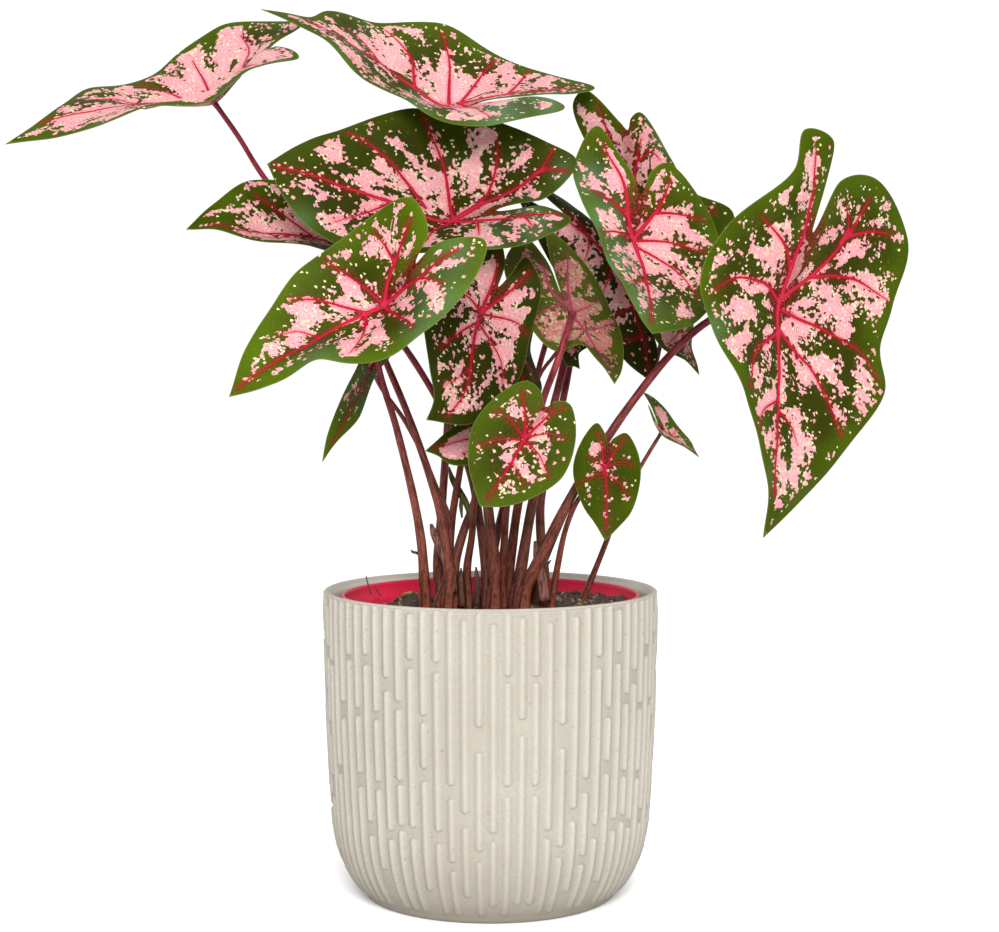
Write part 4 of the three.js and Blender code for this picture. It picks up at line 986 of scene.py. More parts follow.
# Spots of painted sheen, each a column, row, width and strength.
SHEEN = {
    "front_left": [(440, 300, 26, 0.5), (455, 255, 16, 0.5), (420, 335, 16, 0.4), (320, 362, 20, 0.4)],
    "folded_left": [(362, 398, 22, 0.4)],
    "tall_right": [(590, 180, 16, 0.7), (606, 220, 17, 0.9), (622, 262, 18, 0.9), (640, 305, 18, 0.6)],
    "crown": [(500, 116, 22, 0.8), (548, 104, 14, 0.7), (355, 48, 16, 0.5), (420, 100, 14, 0.5)],
    "broad_centre": [(532, 222, 18, 0.8), (490, 240, 14, 0.6), (300, 222, 14, 0.4), (562, 172, 12, 0.4)],
    "rear_right": [(668, 140, 14, 0.5)],
    "upper_left": [(280, 66, 10, 0.5), (110, 118, 20, 0.3)],
    "far_right": [(712, 330, 16, 0.5), (780, 480, 14, 0.3)],
}
PATCHES = {
    "upper_left": [
        (60, 120, 22, 0.3), (120, 100, 24, 0.3), (190, 80, 26, 0.4), (250, 50, 18, 0.4),
        (110, 88, 14, -0.5), (55, 112, 9, -0.4), (205, 42, 12, -0.4), (270, 28, 12, -0.3),
        (150, 80, 12, -0.2),
    ],
    "crown": [
        (470, 92, 24, 0.5), (440, 75, 16, 0.3), (510, 82, 16, 0.4), (400, 62, 12, 0.35), (360, 40, 12, 0.3),
        (350, 24, 10, -0.4), (425, 40, 14, -0.35), (470, 60, 12, -0.3), (400, 85, 10, -0.4),
        (520, 112, 14, -0.5), (560, 80, 12, 0.2), (375, 72, 8, -0.3),
    ],
    "broad_centre": [
        (300, 141, 16, -0.5), (354, 128, 12, -0.5), (392, 122, 16, -0.5), (351, 154, 10, -0.45),
        (411, 137, 11, -0.5), (450, 135, 9, -0.5), (466, 152, 7, -0.35), (515, 130, 12, -0.4),
        (563, 143, 12, -0.5), (550, 188, 12, -0.45), (459, 184, 8, -0.4), (303, 215, 12, -0.5),
        (351, 199, 9, -0.4), (385, 152, 8, -0.3), (333, 160, 8, 0.5), (368, 178, 11, 0.5),
        (410, 176, 11, 0.6), (437, 152, 8, 0.5), (470, 167, 10, 0.55), (488, 136, 9, 0.5),
        (528, 159, 11, 0.55), (429, 188, 9, 0.5), (317, 204, 8, 0.45), (342, 214, 10, 0.45),
        (372, 208, 9, 0.4), (500, 172, 8, 0.4), (445, 208, 9, 0.5), (480, 233, 12, 0.4),
        (520, 226, 12, 0.35), (395, 140, 7, 0.35), (316, 159, 5, 0.4),
    ],
    "left_rear": [(290, 225, 16, 0.35), (250, 212, 12, 0.2), (225, 212, 12, -0.3), (315, 215, 14, 0.3)],
    "front_left": [
        (306, 310, 14, 0.6), (296, 332, 9, 0.5), (351, 286, 9, 0.5), (325, 296, 8, 0.45),
        (346, 311, 9, 0.5), (392, 227, 8, 0.55), (392, 250, 8, 0.5), (373, 251, 8, 0.5), (343, 253, 6, 0.5),
        (430, 288, 9, 0.5), (427, 314, 6, 0.5), (449, 262, 7, 0.45), (378, 336, 8, 0.5), (346, 346, 7, 0.5),
        (276, 353, 8, 0.4), (252, 357, 7, 0.5), (400, 300, 9, 0.4), (309, 271, 13, -0.6),
        (290, 289, 10, -0.5), (268, 322, 12, -0.6), (362, 266, 9, -0.5), (325, 326, 8, -0.5),
        (396, 330, 9, -0.4), (460, 288, 9, -0.5), (408, 338, 9, -0.5), (268, 379, 12, -0.5),
        (410, 268, 7, -0.4), (370, 232, 8, -0.3), (330, 360, 9, -0.5),
    ],
    "centre_hanging": [
        (478, 272, 9, 0.5), (512, 300, 9, 0.5), (483, 333, 9, 0.4), (501, 352, 9, 0.5), (525, 316, 9, 0.4),
        (450, 298, 7, 0.3), (530, 274, 8, -0.5), (443, 356, 8, -0.5), (436, 330, 6, -0.4),
        (505, 385, 9, 0.2), (452, 400, 7, 0.3), (478, 392, 7, -0.4), (497, 306, 5, -0.3),
    ],
    "turned_back": [
        (560, 268, 10, 0.6), (581, 312, 10, 0.6), (603, 341, 9, 0.5), (542, 343, 10, 0.6),
        (578, 285, 9, 0.3), (545, 305, 12, -0.4), (605, 368, 8, -0.4), (566, 244, 9, -0.4),
        (616, 340, 7, -0.3), (600, 318, 8, -0.3),
    ],
    "tall_right": [
        (610, 178, 12, 0.5), (655, 232, 10, 0.5), (685, 212, 9, 0.5), (690, 240, 10, 0.4),
        (660, 265, 12, 0.45), (680, 282, 9, 0.4), (598, 206, 8, -0.3), (666, 308, 12, -0.6),
        (632, 300, 9, -0.4), (674, 200, 6, -0.5), (600, 138, 10, -0.4), (700, 300, 10, -0.4),
        (618, 240, 8, -0.2), (675, 252, 5, -0.3),
    ],
    "far_right": [
        (803, 162, 8, 0.5), (784, 197, 8, 0.5), (800, 197, 7, 0.5), (777, 262, 13, 0.6),
        (742, 309, 11, 0.6), (742, 341, 8, 0.5), (765, 286, 8, 0.4), (718, 256, 6, 0.5),
        (877, 224, 11, 0.5), (856, 253, 9, 0.5), (871, 285, 12, 0.6), (833, 303, 13, 0.6),
        (803, 322, 9, 0.5), (842, 329, 9, 0.5), (824, 361, 11, 0.5), (800, 379, 12, 0.6),
        (853, 414, 9, 0.5), (792, 417, 9, 0.5), (765, 403, 8, 0.4), (794, 447, 9, 0.5), (789, 476, 8, 0.5),
        (777, 502, 7, 0.4), (765, 212, 11, -0.6), (727, 228, 12, -0.5), (726, 286, 9, -0.5),
        (752, 356, 8, -0.5), (747, 385, 8, -0.4), (812, 258, 9, -0.5), (889, 258, 8, -0.5),
        (840, 287, 6, -0.5), (883, 330, 9, -0.5), (812, 398, 8, -0.5), (820, 436, 12, -0.6),
        (842, 446, 10, -0.5), (824, 470, 10, -0.5), (768, 372, 6, -0.4), (820, 150, 7, -0.4),
        (855, 195, 9, -0.4), (875, 360, 9, -0.4), (735, 268, 7, -0.3),
    ],
    "folded_left": [(352, 385, 6, 0.6), (346, 398, 5, 0.5), (372, 385, 6, 0.5), (340, 412, 5, 0.4)],
    "rear_right": [(600, 125, 12, 0.4), (655, 165, 12, 0.4), (590, 100, 8, -0.3), (720, 215, 14, -0.5)],
    "heart_front": [
        (540, 430, 10, 0.45), (512, 450, 10, 0.4), (518, 412, 8, 0.4), (500, 425, 8, -0.3),
        (490, 492, 12, -0.6), (548, 455, 9, 0.2),
    ],
    "small_heart_right": [
        (597, 447, 6, 0.8), (622, 456, 5, 0.7), (598, 468, 6, 0.6), (612, 478, 7, 0.6), (600, 486, 5, 0.5),
    ],
}
print("soft spots:", sum(map(len, PATCHES.values())), "of colour,", sum(map(len, SHEEN.values())), "of sheen")

# %% Make the leaves
for number, name in enumerate(HEARTS):
    mesh = blade_mesh(name, number)
    show("leaf_" + name, mesh, "leaf_blade", "blade_" + name)
    print("leaf_" + name, len(mesh.polygons), "faces")

# %% [markdown]
# ## The stalks
# A stalk is a tapering rod that leaves the tuber, comes up through the soil and leans out to its blade. A
# row of cylinders would kink at every joint. A Geometry Nodes tree sweeps one ring along the whole flowing
# line instead: the line carries the stalk's thickness and its length so far, the ring carries its own turn,
# and the length and the turn are kept on the finished rod as `rod`, a seamless place on the stalk that its
# finish reads.

# %% The finish of the stalks
SOIL_HEIGHT = 123.6


def stalk_finish():
    finish = Finish("caladium_stalk")
    spot = finish.reading("rod", "Vector")
    streaks = finish.clouds(spot, 1.6, 4, 0.65)
    blotches = finish.clouds(spot, 0.5, 2, 0.55)
    height = finish.height()
    low = finish.paint(streaks.to(0.36, 0.6), colour("#481a12"), colour("#9c5440"))
    low = finish.paint(blotches.to(0.53, 0.65) * 0.5, low, colour("#75603a"))
    high = finish.paint(streaks.to(0.35, 0.65), colour("#6c0e1e"), colour("#a43244"))
    skin = finish.paint((height + blotches * 60).to(185, 290), low, high)
    around, aside, along = finish.parts(spot)
    dashes = finish.clouds(finish.vector(around, aside, along * 9), 2.4, 2, 0.6)
    skin = finish.paint(dashes.to(0.54, 0.64) * height.to(330, 200) * 0.55, skin, colour("#3d1210"))
    pale = finish.clouds(spot, 7, 2, 0.5).to(0.63, 0.7)
    skin = finish.paint(pale * 0.3, skin, colour("#c88872"))
    finish.set(Base_Color=skin, Roughness=0.5 + (streaks - 0.5) * 0.3, Specular_IOR_Level=0.15)
    finish.set(Normal=finish.bump(streaks + pale * 0.3, 0.4, 0.3))
    return finish


stalk_skin = stalk_finish()
print("stalk finish:", len(stalk_skin.nodes.nodes), "nodes")


# %% The sweeping tree
def new_tree(name, inputs):
    """A Geometry Nodes tree with a mesh input and some named sizes; returns it with its input sockets."""
    group = bpy.data.node_groups.new(name, "GeometryNodeTree")
    group.interface.new_socket("Geometry", in_out="INPUT", socket_type="NodeSocketGeometry")
    for label, kind in inputs.items():
        group.interface.new_socket(label, in_out="INPUT", socket_type=kind)
    group.interface.new_socket("Geometry", in_out="OUTPUT", socket_type="NodeSocketGeometry")
    tree = Tree(group)
    entry = group.nodes.new("NodeGroupInput")
    return tree, {output.name: Socket(tree, output) for output in entry.outputs if output.name}


def end_tree(tree, geometry, finish):
    """Every tree ends in real, smooth faces with their finish."""
    for kind in ("GeometryNodeRealizeInstances", "GeometryNodeSetShadeSmooth"):
        geometry = tree.node(kind, {}, {"Geometry": geometry})
    done = tree.node("GeometryNodeSetMaterial", {}, {"Geometry": geometry, "Material": finish})
    exit_node = tree.nodes.nodes.new("NodeGroupOutput")
    tree.nodes.links.new(done.output, exit_node.inputs[0])
    return tree.nodes


def baked(name, mesh, tree, values):
    """Runs a tree on a mesh and gives the result as a plain mesh."""
    carrier = bpy.data.objects.new(name + "_path", mesh)
    bpy.context.collection.objects.link(carrier)
    modifier = carrier.modifiers.new("made", "NODES")
    modifier.node_group = tree
    for item in tree.interface.items_tree:
        if item.in_out == "INPUT" and item.name in values:
            modifier[item.identifier] = values[item.name]
    bpy.context.view_layer.update()
    made = bpy.data.meshes.new_from_object(carrier.evaluated_get(bpy.context.evaluated_depsgraph_get()))
    carrier.modifiers.clear()
    bpy.data.objects.remove(carrier)
    made.name = name
    return made


def named(tree, name, kind="FLOAT"):
    """A number, or a vector, that the geometry keeps under this name."""
    return tree.node("GeometryNodeInputNamedAttribute", {"data_type": kind}, {"Name": name})


def keep(tree, geometry, name, value, kind="FLOAT"):
    """The same geometry, with a number or a vector kept under this name."""
    settings = {"data_type": kind, "domain": "POINT"}
    inputs = {"Geometry": geometry, "Name": name, "Value": value}
    return tree.node("GeometryNodeStoreNamedAttribute", settings, inputs)


def sweeping_tree():
    tree, sizes = new_tree("stalk sweep", {"Sides": "NodeSocketInt", "Finish": "NodeSocketMaterial"})
    line = tree.node("GeometryNodeMeshToCurve", {}, {"Mesh": sizes["Geometry"]})
    length = tree.node("GeometryNodeSplineParameter", {}, {}, "Length")
    line = keep(tree, line, "along", length * 1000)
    ring = tree.node("GeometryNodeCurvePrimitiveCircle", {}, {"Resolution": sizes["Sides"], "Radius": MM})
    turn = tree.node("GeometryNodeSplineParameter", {}, {}, "Factor") * math.tau
    ring = keep(tree, ring, "turn", turn)
    inputs = {"Curve": line, "Profile Curve": ring, "Scale": named(tree, "thick"), "Fill Caps": True}
    rod = tree.node("GeometryNodeCurveToMesh", {}, inputs)
    around = named(tree, "turn")
    spot = tree.vector(around.sum("COSINE", around), around.sum("SINE", around), named(tree, "along") * 0.09)
    rod = keep(tree, rod, "rod", spot, "FLOAT_VECTOR")
    return end_tree(tree, rod, sizes["Finish"])


stalk_sweep = sweeping_tree()
print("stalk tree:", len(stalk_sweep.nodes), "nodes")

# %% [markdown]
# ## The ways of the stalks
# Each stalk stands upright in the soil and then follows its own way to its blade. The table has the foot on
# the plan, the radius at the foot and at the blade, and then marks along the way, each a column, a row and
# a depth.

# %% Sweep the stalks
STALKS = {
    "upper_left": [
        (-2.5, 0), (1.7, 1), (486, 575, 1), (481, 530, 7), (472, 480, 14), (458, 440, 18), (433, 392, 20),
        (403, 345, 20), (335, 258, 22), (266, 180, 14), (238, 136, 4),
    ],
    "crown": [
        (1.5, -10), (2.1, 1.2), (494, 560, -11), (488, 507, -12), (481, 400, -9), (466, 250, 2),
        (457, 180, 5), (452, 130, 6),
    ],
    "broad_centre": [
        (-22, 9.5), (1.8, 1.1), (438, 560, 8), (441, 520, 5), (445, 463, 0), (450, 380, -10),
        (454, 300, -20),
    ],
    "left_rear": [
        (-18.5, -9), (1.8, 1.1), (449, 570, -9), (445, 540, -9), (437, 500, -10), (410, 420, -12),
        (386, 362, -14), (355, 290, -12),
    ],
    "front_left": [
        (-28, -6), (1.8, 1.1), (424, 575, -8), (421, 540, -10), (414, 500, -14), (397, 430, -26),
        (378, 362, -44),
    ],
    "centre_hanging": [
        (-14, 8), (1.6, 1), (450, 560, 6), (452, 520, 2), (460, 470, -4), (468, 420, -14), (477, 360, -30),
    ],
    "turned_back": [
        (8, 4), (1.8, 1.2), (509, 575, 3), (513, 540, 0), (518, 505, -6), (530, 450, -26), (543, 400, -48),
        (558, 360, -62), (567, 332, -54),
    ],
    "tall_right": [
        (11, -4), (2, 1.2), (521, 570, -3), (533, 500, 0), (555, 400, 6), (572, 340, 14), (594, 295, 22),
        (614, 262, 20), (626, 248, 2),
    ],
    "far_right": [
        (14, -13), (2.1, 1.3), (525, 592, -13), (541, 556, -15), (575, 490, -18), (608, 437, -20),
        (630, 405, -20), (670, 355, -20), (707, 322, -22), (750, 303, -30),
    ],
    "rear_right": [
        (23, 1), (1.8, 1.1), (544, 575, 3), (541, 540, 6), (541, 500, 8), (563, 400, 13), (575, 345, 22),
        (600, 285, 36), (618, 240, 38),
    ],
    "dark_edge": [
        (-2, 10), (1.6, 1), (490, 572, 12), (505, 500, 18), (528, 420, 22), (541, 360, 24), (566, 284, 24),
        (580, 252, 14),
    ],
    "small_rear": [
        (19, 10), (1.2, 0.8), (535, 585, 11), (545, 560, 14), (562, 520, 12), (585, 475, 2), (610, 437, -6),
        (632, 405, -6), (650, 380, 0), (662, 335, 22),
    ],
    "folded_right": [(40, 12), (1.1, 0.7), (589, 585, 11), (607, 540, 8), (620, 505, 4), (641, 466, 0)],
    "small_heart_right": [(26, -7), (1.2, 0.8), (556, 575, -9), (566, 528, -14), (578, 500, -19)],
    "heart_front": [
        (5.5, -3.5), (1.3, 0.9), (502, 570, -7), (504, 540, -12), (506, 507, -24), (514, 470, -44),
    ],
    "low_left": [(-9.5, 1), (1.5, 0.9), (467, 570, 1), (472, 535, -2), (474, 500, -10), (480, 465, -22)],
    "folded_left": [
        (-23, 0), (1.2, 0.8), (447, 575, 0), (450, 540, -2), (447, 512, -4), (438, 492, -6), (422, 453, -8),
        (403, 418, -8), (384, 392, -8), (377, 380, -14),
    ],
    "shaded_centre": [
        (-16, -2.5), (1.8, 1), (455, 565, 0), (464, 530, 3), (475, 500, 5), (492, 440, 2), (508, 380, -6),
    ],
    "small_dark": [
        (5, 12), (1.1, 0.7), (504, 560, 8), (511, 480, 5), (530, 405, 2), (541, 373, 0), (553, 357, -2),
    ],
}
STALK_START = 104.3
STALK_SIDES = 16
STALK_SPACING = 3.2


def stalk_line(foot, route, blade):
    """From the tuber up through the soil, along the route, to just inside the blade."""
    upright = [(*foot, height) for height in (STALK_START, SOIL_HEIGHT - 6, SOIL_HEIGHT + 1.5)]
    facing = blade.facing(np.zeros((1, 2)))[0]
    route = [place(spot) for spot in route]
    return even(flowing([*upright, *route, blade.junction - facing * 0.2], 14), STALK_SPACING)


def chain(count, first=0):
    """The edges of a chain of corners."""
    return [(first + step, first + step + 1) for step in range(count - 1)]


for number, (name, (foot, (low, high), *route)) in enumerate(STALKS.items()):
    line = stalk_line(foot, route, BLADES[name])
    part = np.linspace(0, 1, len(line))
    above = line[:, 2] - SOIL_HEIGHT
    thick = low + (high - low) * part**0.8
    thick = thick * (1.08 + 0.62 * np.exp(-np.maximum(above, 0) / 30) + 0.03 * np.sin(above * 0.31 + number))
    thick = thick * (1 + 0.35 * np.clip((part - 0.985) / 0.015, 0, 1))
    path = bare_mesh(name, line, chain(len(line)), [], {"thick": thick})
    mesh = baked("stalk " + name, path, stalk_sweep, {"Sides": STALK_SIDES, "Finish": stalk_skin.material})
    show("stem_" + name, mesh, "leaf_stalk", "stalk_" + name)
print("stalks:", len(STALKS))

# %% [markdown]
# ## Sheaths and dry bits
# Every stalk comes out of the base of an older one, and the spent bases stay as papery sheaths: two are
# still green, the others are brown and curl away from the stalks. Each is a thin strip with a crescent for
# a section, so it has an inside, an outside and a free edge like the real one. The table has its finish,
# half its opening in degrees, and its marks: column, row, depth and the width on the elevation. Two twigs
# are made alike.

# %% Lay the sheaths
SHEATHS = {
    "sheath_green": (
        "green", 70, (449, 467, 4, 2), (452, 478, 3, 6), (459, 491, 2, 8), (466, 503, 1, 7),
        (471, 520, 0, 4),
    ),
    "sheath_young": ("green", 60, (461, 494, 3, 2), (461, 506, 3, 5), (462, 518, 3, 2)),
    "sheath_left": (
        "brown", 85, (431, 524, -4, 3), (434, 533, -5, 8), (441, 547, -7, 11), (448, 562, -8, 12),
        (452, 592, -8, 12),
    ),
    "sheath_thin": ("dark", 60, (476, 567, -8, 2), (477, 578, -9, 6), (478, 606, -9, 8)),
    "sheath_dark": ("dark", 60, (461, 568, -6, 2), (461, 580, -7, 6), (462, 606, -7, 8)),
    "sheath_right": (
        "brown", 80, (535, 541, -10, 3), (537, 556, -11, 8), (541, 575, -12, 11), (545, 600, -12, 12),
    ),
    "curl_left": ("dark", 70, (411, 550, -8, 1), (413, 552, -9, 3), (417, 553, -9, 3), (422, 559, -8, 2)),
    "curl_right": ("dark", 70, (551, 560, -8, 1), (547, 565, -9, 4), (544, 573, -9, 5), (543, 588, -9, 3)),
    "twig": ("dark", 175, (366, 576, -14, 1), (368, 584, -14, 1.4), (371, 594, -14, 1.8)),
    "twig_fork": ("dark", 175, (375, 586, -14, 1), (377, 590, -14, 1.4), (381, 596, -14, 1.4)),
}
SHEATH_THICK = 0.35
SHEATH_DISTANCE = 920


def sheath_finish(name, deep, light):
    finish = Finish(name)
    where = finish.here()
    across, aside, height = finish.parts(where)
    streaks = finish.clouds(finish.vector(across * 900, aside * 900, height * 120), 1, 3, 0.65)
    skin = finish.paint(streaks.to(0.36, 0.62), colour(deep), colour(light))
    finish.set(Base_Color=skin, Roughness=0.6 + (streaks - 0.5) * 0.3, Specular_IOR_Level=0.2)
    finish.set(Normal=finish.bump(streaks, 0.6, 0.4))
    return finish


sheath_finishes = {
    "green": sheath_finish("green_sheath", "#2f3410", "#77803c"),
    "brown": sheath_finish("brown_sheath", "#52261f", "#a06a5a"),
    "dark": sheath_finish("dry_sheath", "#24100c", "#6e4636"),
}


def sheath_mesh(name, kind, opening, marks):
    """A strip whose section is a crescent that opens to the back, from a pointed tip to the foot."""
    line = flowing([place(mark[:3]) for mark in marks], 6)
    widths = [mark[3] * SHEATH_DISTANCE / FOCUS for mark in marks]
    width = np.interp(np.linspace(0, len(marks) - 1, len(line)), range(len(marks)), widths)
    along = np.gradient(line, axis=0)
    along /= np.linalg.norm(along, axis=1)[:, None]
    front = np.array([0, -1.0, 0]) + along * along[:, 1:2]
    front /= np.linalg.norm(front, axis=1)[:, None]
    side = np.cross(front, along)
    turns = np.radians(np.linspace(-opening, opening, 9))
    radius = np.maximum(width / 2, 0.25)
    inner = np.maximum(radius - SHEATH_THICK, 0.1)
    corners = []
    for spot, ahead, aside, outside, inside_radius in zip(line, front, side, radius, inner):
        for reach, angles in ((outside, turns), (inside_radius, turns[::-1])):
            corners += [spot + reach * (ahead * math.cos(turn) + aside * math.sin(turn)) for turn in angles]
    ring = 2 * len(turns)
    faces = [tuple(range(ring)), tuple(range(len(corners) - ring, len(corners)))[::-1]]
    for step in range(len(line) - 1):
        for corner in range(ring):
            here, there = step * ring + corner, step * ring + (corner + 1) % ring
            faces.append((here, here + ring, there + ring, there))
    return make_mesh(name, corners, faces, [sheath_finishes[kind]])


for name, (kind, opening, *marks) in SHEATHS.items():
    show(name, sheath_mesh(name, kind, opening, marks), "leaf_stalk")
print("sheaths and bits:", len(SHEATHS))

# %% [markdown]
# ## The cover pot
# The pot is matte cream stoneware, thrown round and narrowing to a small foot ring. A turned shape is its
# half-section spun about the upright axis, so one closed section makes the outer wall, the lip, the inner
# wall and the floor at once. `turned` closes both poles with a fan and joins the last column to the first.

# %% Turn a section
def shell(rings, steps):
    """The faces of a closed shell of rings between two poles."""
    faces = []
    for step in range(steps):
        side = (step + 1) % steps
        faces.append((0, 1 + side, 1 + step))
        for low in range(1, 1 + (rings - 1) * steps, steps):
            faces.append((low + step, low + side, low + side + steps, low + step + steps))
        last = 1 + (rings - 1) * steps
        faces.append((last + step, last + side, last + steps))
    return faces


def turned(section, steps):
    """Corners and faces of a section of radii and heights that starts and ends on the axis."""
    corners = [(0, 0, section[0][1])]
    for radius, height in section[1:-1]:
        angles = np.arange(steps) * math.tau / steps
        corners += np.c_[radius * np.sin(angles), -radius * np.cos(angles), np.full(steps, height)].tolist()
    corners.append((0, 0, section[-1][1]))
    return corners, shell(len(section) - 2, steps)


# %% The finish of the stoneware
def stoneware():
    finish = Finish("cream_stoneware")
    where = finish.here()
    cloudy = finish.clouds(where, 14, 3, 0.6)
    grain = finish.clouds(where, 900, 2, 0.6)
    speck = finish.clouds(where, 620, 1, 0.5)
    skin = finish.paint(cloudy.to(0.3, 0.7), colour("#c9c2b4"), colour("#d3cdc0"))
    skin = finish.paint(grain.to(0.42, 0.62) * 0.35, skin, colour("#bdb5a6"))
    skin = finish.paint(speck.to(0.72, 0.78) * 0.6, skin, colour("#8d8474"))
    skin = finish.paint(finish.clouds(where, 95, 2, 0.7).to(0.7, 0.78) * 0.3, skin, colour("#b89e78"))
    across, aside, height = (number * 1000 for number in finish.parts(where))
    square = across * across + aside * aside
    away = square.sum("SQRT", square)
    # Painted shade: the stoneware is painted darker towards the foot, where less light reaches it.
    skin = finish.paint(height.to(46, 2) * 0.5 + height.to(14, 2) * 0.3, skin, colour("#a59c8c"))
    inside_wall = (height > 100) * (68.4 - away > 0)
    # Painted shade: the wall between the ribs and the ribs' flanks are painted darker, as shade falls in the
    # grooves.
    groove_shade = (130.5 - height > 0) * (1 - inside_wall) * finish.reading("rise").to(0.85, 0.0)
    skin = finish.paint(groove_shade * 0.27, skin, colour("#8f8878"))
    # Painted light: the upper inner wall, which lies in shade, is painted paler.
    skin = finish.paint(inside_wall * 0.6, skin, colour("#e6dfcf"))
    finish.set(Base_Color=skin, Roughness=0.62 + (grain - 0.5) * 0.3)
    finish.set(Normal=finish.bump(grain + cloudy * 0.5, 0.35, 0.12), Specular_IOR_Level=0.3)
    return finish


cream_stoneware = stoneware()

# %% The pot's wall
CREST = [
    (52.6, 0.0), (53.2, 0.4), (54.2, 1.2), (55.0, 2.6), (59.0, 5.7), (62.0, 10.2), (64.4, 14.7), (66.1, 19.2),
    (67.4, 23.6), (68.2, 28.0), (68.9, 32.4), (70.1, 50.0), (70.9, 67.5), (71.5, 80.6), (71.8, 98.0),
    (72.2, 111.0), (72.3, 119.7), (72.4, 126.0), (72.3, 130.0), (72.0, 132.0),
]
RIB_PROUD = 1.45
POT_STEPS = 160
crest_radii, crest_heights = np.array(CREST).T
print("pot:", 2 * crest_radii.max(), "mm across its widest rib")


def ground_radius(height):
    """Radius of the wall between the ribs."""
    ribbed = np.clip(np.minimum((height - 2.6) / 3, (132.0 - height) / 1.3), 0, 1)
    return np.interp(height, crest_heights, crest_radii) - RIB_PROUD * ribbed


def pot_section():
    foot = [(0, 2.2), (47.0, 2.2), (48.2, 1.6), (49.0, 0.4), (49.6, 0.0), (52.2, 0.0)]
    heights = [0.4, 1.2, 2.2, 3.2, 4.4, 5.7, 7.5, 10.2, 12.4, 14.7, 17, 19.2, 21.4, 23.6, 28, 32.4, 41]
    heights += [50, 58, 67.5, 80.6, 90, 98, 105, 111, 119.7, 124, 127, 128.5, 130, 131, 131.9]
    outer = [(float(ground_radius(height)), height) for height in heights]
    lip = [(71.6, 132.4), (71, 132.7), (70, 132.6), (69, 132), (68, 130.8), (67.3, 129.2), (66.9, 127)]
    inner = [(66.8, 120), (66.8, 100), (67.2, 60), (66.0, 40), (64.2, 28), (61.5, 18), (57, 10.5), (52, 7)]
    return [*foot, *outer, *lip, *inner, (47, 5.5), (0, 5.5)]


# %% [markdown]
# ## The ribs
# Seventy-six upright ribs run down the pot, each broken here and there by a short gap, with rounded ends.
# Modelling the whole wall finely enough for them would take most of the faces of the scene. The ribs are
# swept instead: each stretch is a line on the wall, and one tree runs a soft bell along all of them and
# narrows it at both ends. `GAPS` has the front ribs from left to right, each with the first and last row of
# its gaps; the back gets gaps of the same kind by chance.

# %% Gaps of the ribs
RIBS = 76
RIB_WIDTH = 4.9
FIRST_RIB = -69.9
RIB_FOOT = 4.2
RIB_TOP = 131.8
RIB_END = 1.65
SHORTEST_RIB = 6
GAPS = [
    [(661, 664)], [(766, 773)], [(702, 718)], [(655, 659)], [(708, 715), (773, 786)],
    [(655, 664), (822, 835)], [(712, 719), (782, 789), (870, 930)], [(678, 690), (831, 839)],
    [(702, 709), (781, 784), (826, 830)], [(600, 613), (660, 668), (828, 838)],
    [(716, 722), (769, 781), (891, 930)], [(663, 672), (832, 843)], [(786, 798), (863, 871)],
    [(600, 619), (814, 827), (898, 930)], [(728, 752), (852, 862)], [(600, 623), (834, 841), (907, 930)],
    [(677, 682), (787, 797)], [(600, 617), (720, 735), (905, 930)], [(677, 682), (786, 795), (905, 930)],
    [(600, 622), (831, 838)], [(725, 748), (847, 857)], [(600, 616), (809, 821), (892, 930)],
    [(779, 792), (856, 864)], [(657, 668), (825, 838)], [(708, 717), (761, 773), (882, 930)],
    [(600, 609), (653, 663), (819, 830)], [(694, 703), (771, 776), (815, 821)], [(670, 683), (820, 827)],
    [(703, 708), (771, 778)], [(645, 655), (809, 822)], [(698, 704)],
]


def wall_spot(angle, height):
    radius = ground_radius(height)
    return np.stack([radius * math.sin(angle), -radius * math.cos(angle), height], -1)


def gap_heights(angle, rows):
    """Heights of the wall that show at these rows, on the rib at this angle."""
    heights = np.linspace(131, 1, 131)
    shown = seen(wall_spot(angle, heights))[:, 1]
    return tuple(np.interp(rows, shown, heights))


def rib_stretches():
    """Each stretch of rib as its angle, top and foot."""
    chance = np.random.default_rng(11)
    stretches = []
    for rib, angle in enumerate(np.radians(FIRST_RIB + np.arange(RIBS) * 360 / RIBS)):
        if rib < len(GAPS):
            gaps = [gap_heights(angle, rows) for rows in GAPS[rib]]
        else:
            marks = np.cumsum(chance.uniform(20, 52, 4)) - 10
            gaps = [(130 - mark, 126 - mark - chance.uniform(0, 5)) for mark in marks]
            if rib % 2:
                gaps.append((133, 131 - chance.uniform(2, 6)))
        top = RIB_TOP
        for upper, lower in [*sorted(gaps, reverse=True), (RIB_FOOT, RIB_FOOT)]:
            upper = max(upper, RIB_FOOT)
            if top - upper > SHORTEST_RIB:
                stretches.append((angle, top, upper))
            top = min(top, lower)
    return stretches


def rib_paths(stretches):
    """All stretches as chains of edges, each corner with its width and the way it faces."""
    corners, edges, widths, ways = [], [], [], []
    ends = np.array([0, 0.15, 0.5, 1.0, RIB_END])
    for angle, top, foot in stretches:
        length = top - foot
        middle = np.linspace(RIB_END, length - RIB_END, max(3, round(length / 5)))[1:-1]
        along = np.r_[ends, middle, length - ends[::-1]]
        to_end = np.minimum(1, np.minimum(along, length - along) / RIB_END)
        edges += chain(len(along), len(corners))
        corners += wall_spot(angle, top - along).tolist()
        widths += np.sqrt(np.clip(1 - (1 - to_end) ** 2, 0.004, 1)).tolist()
        ways += [(math.sin(angle), -math.cos(angle), 0)] * len(along)
    return bare_mesh("rib paths", corners, edges, [], {"thick": widths, "way": ways})


print("front ribs:", len(GAPS), "with", sum(map(len, GAPS)), "gaps")

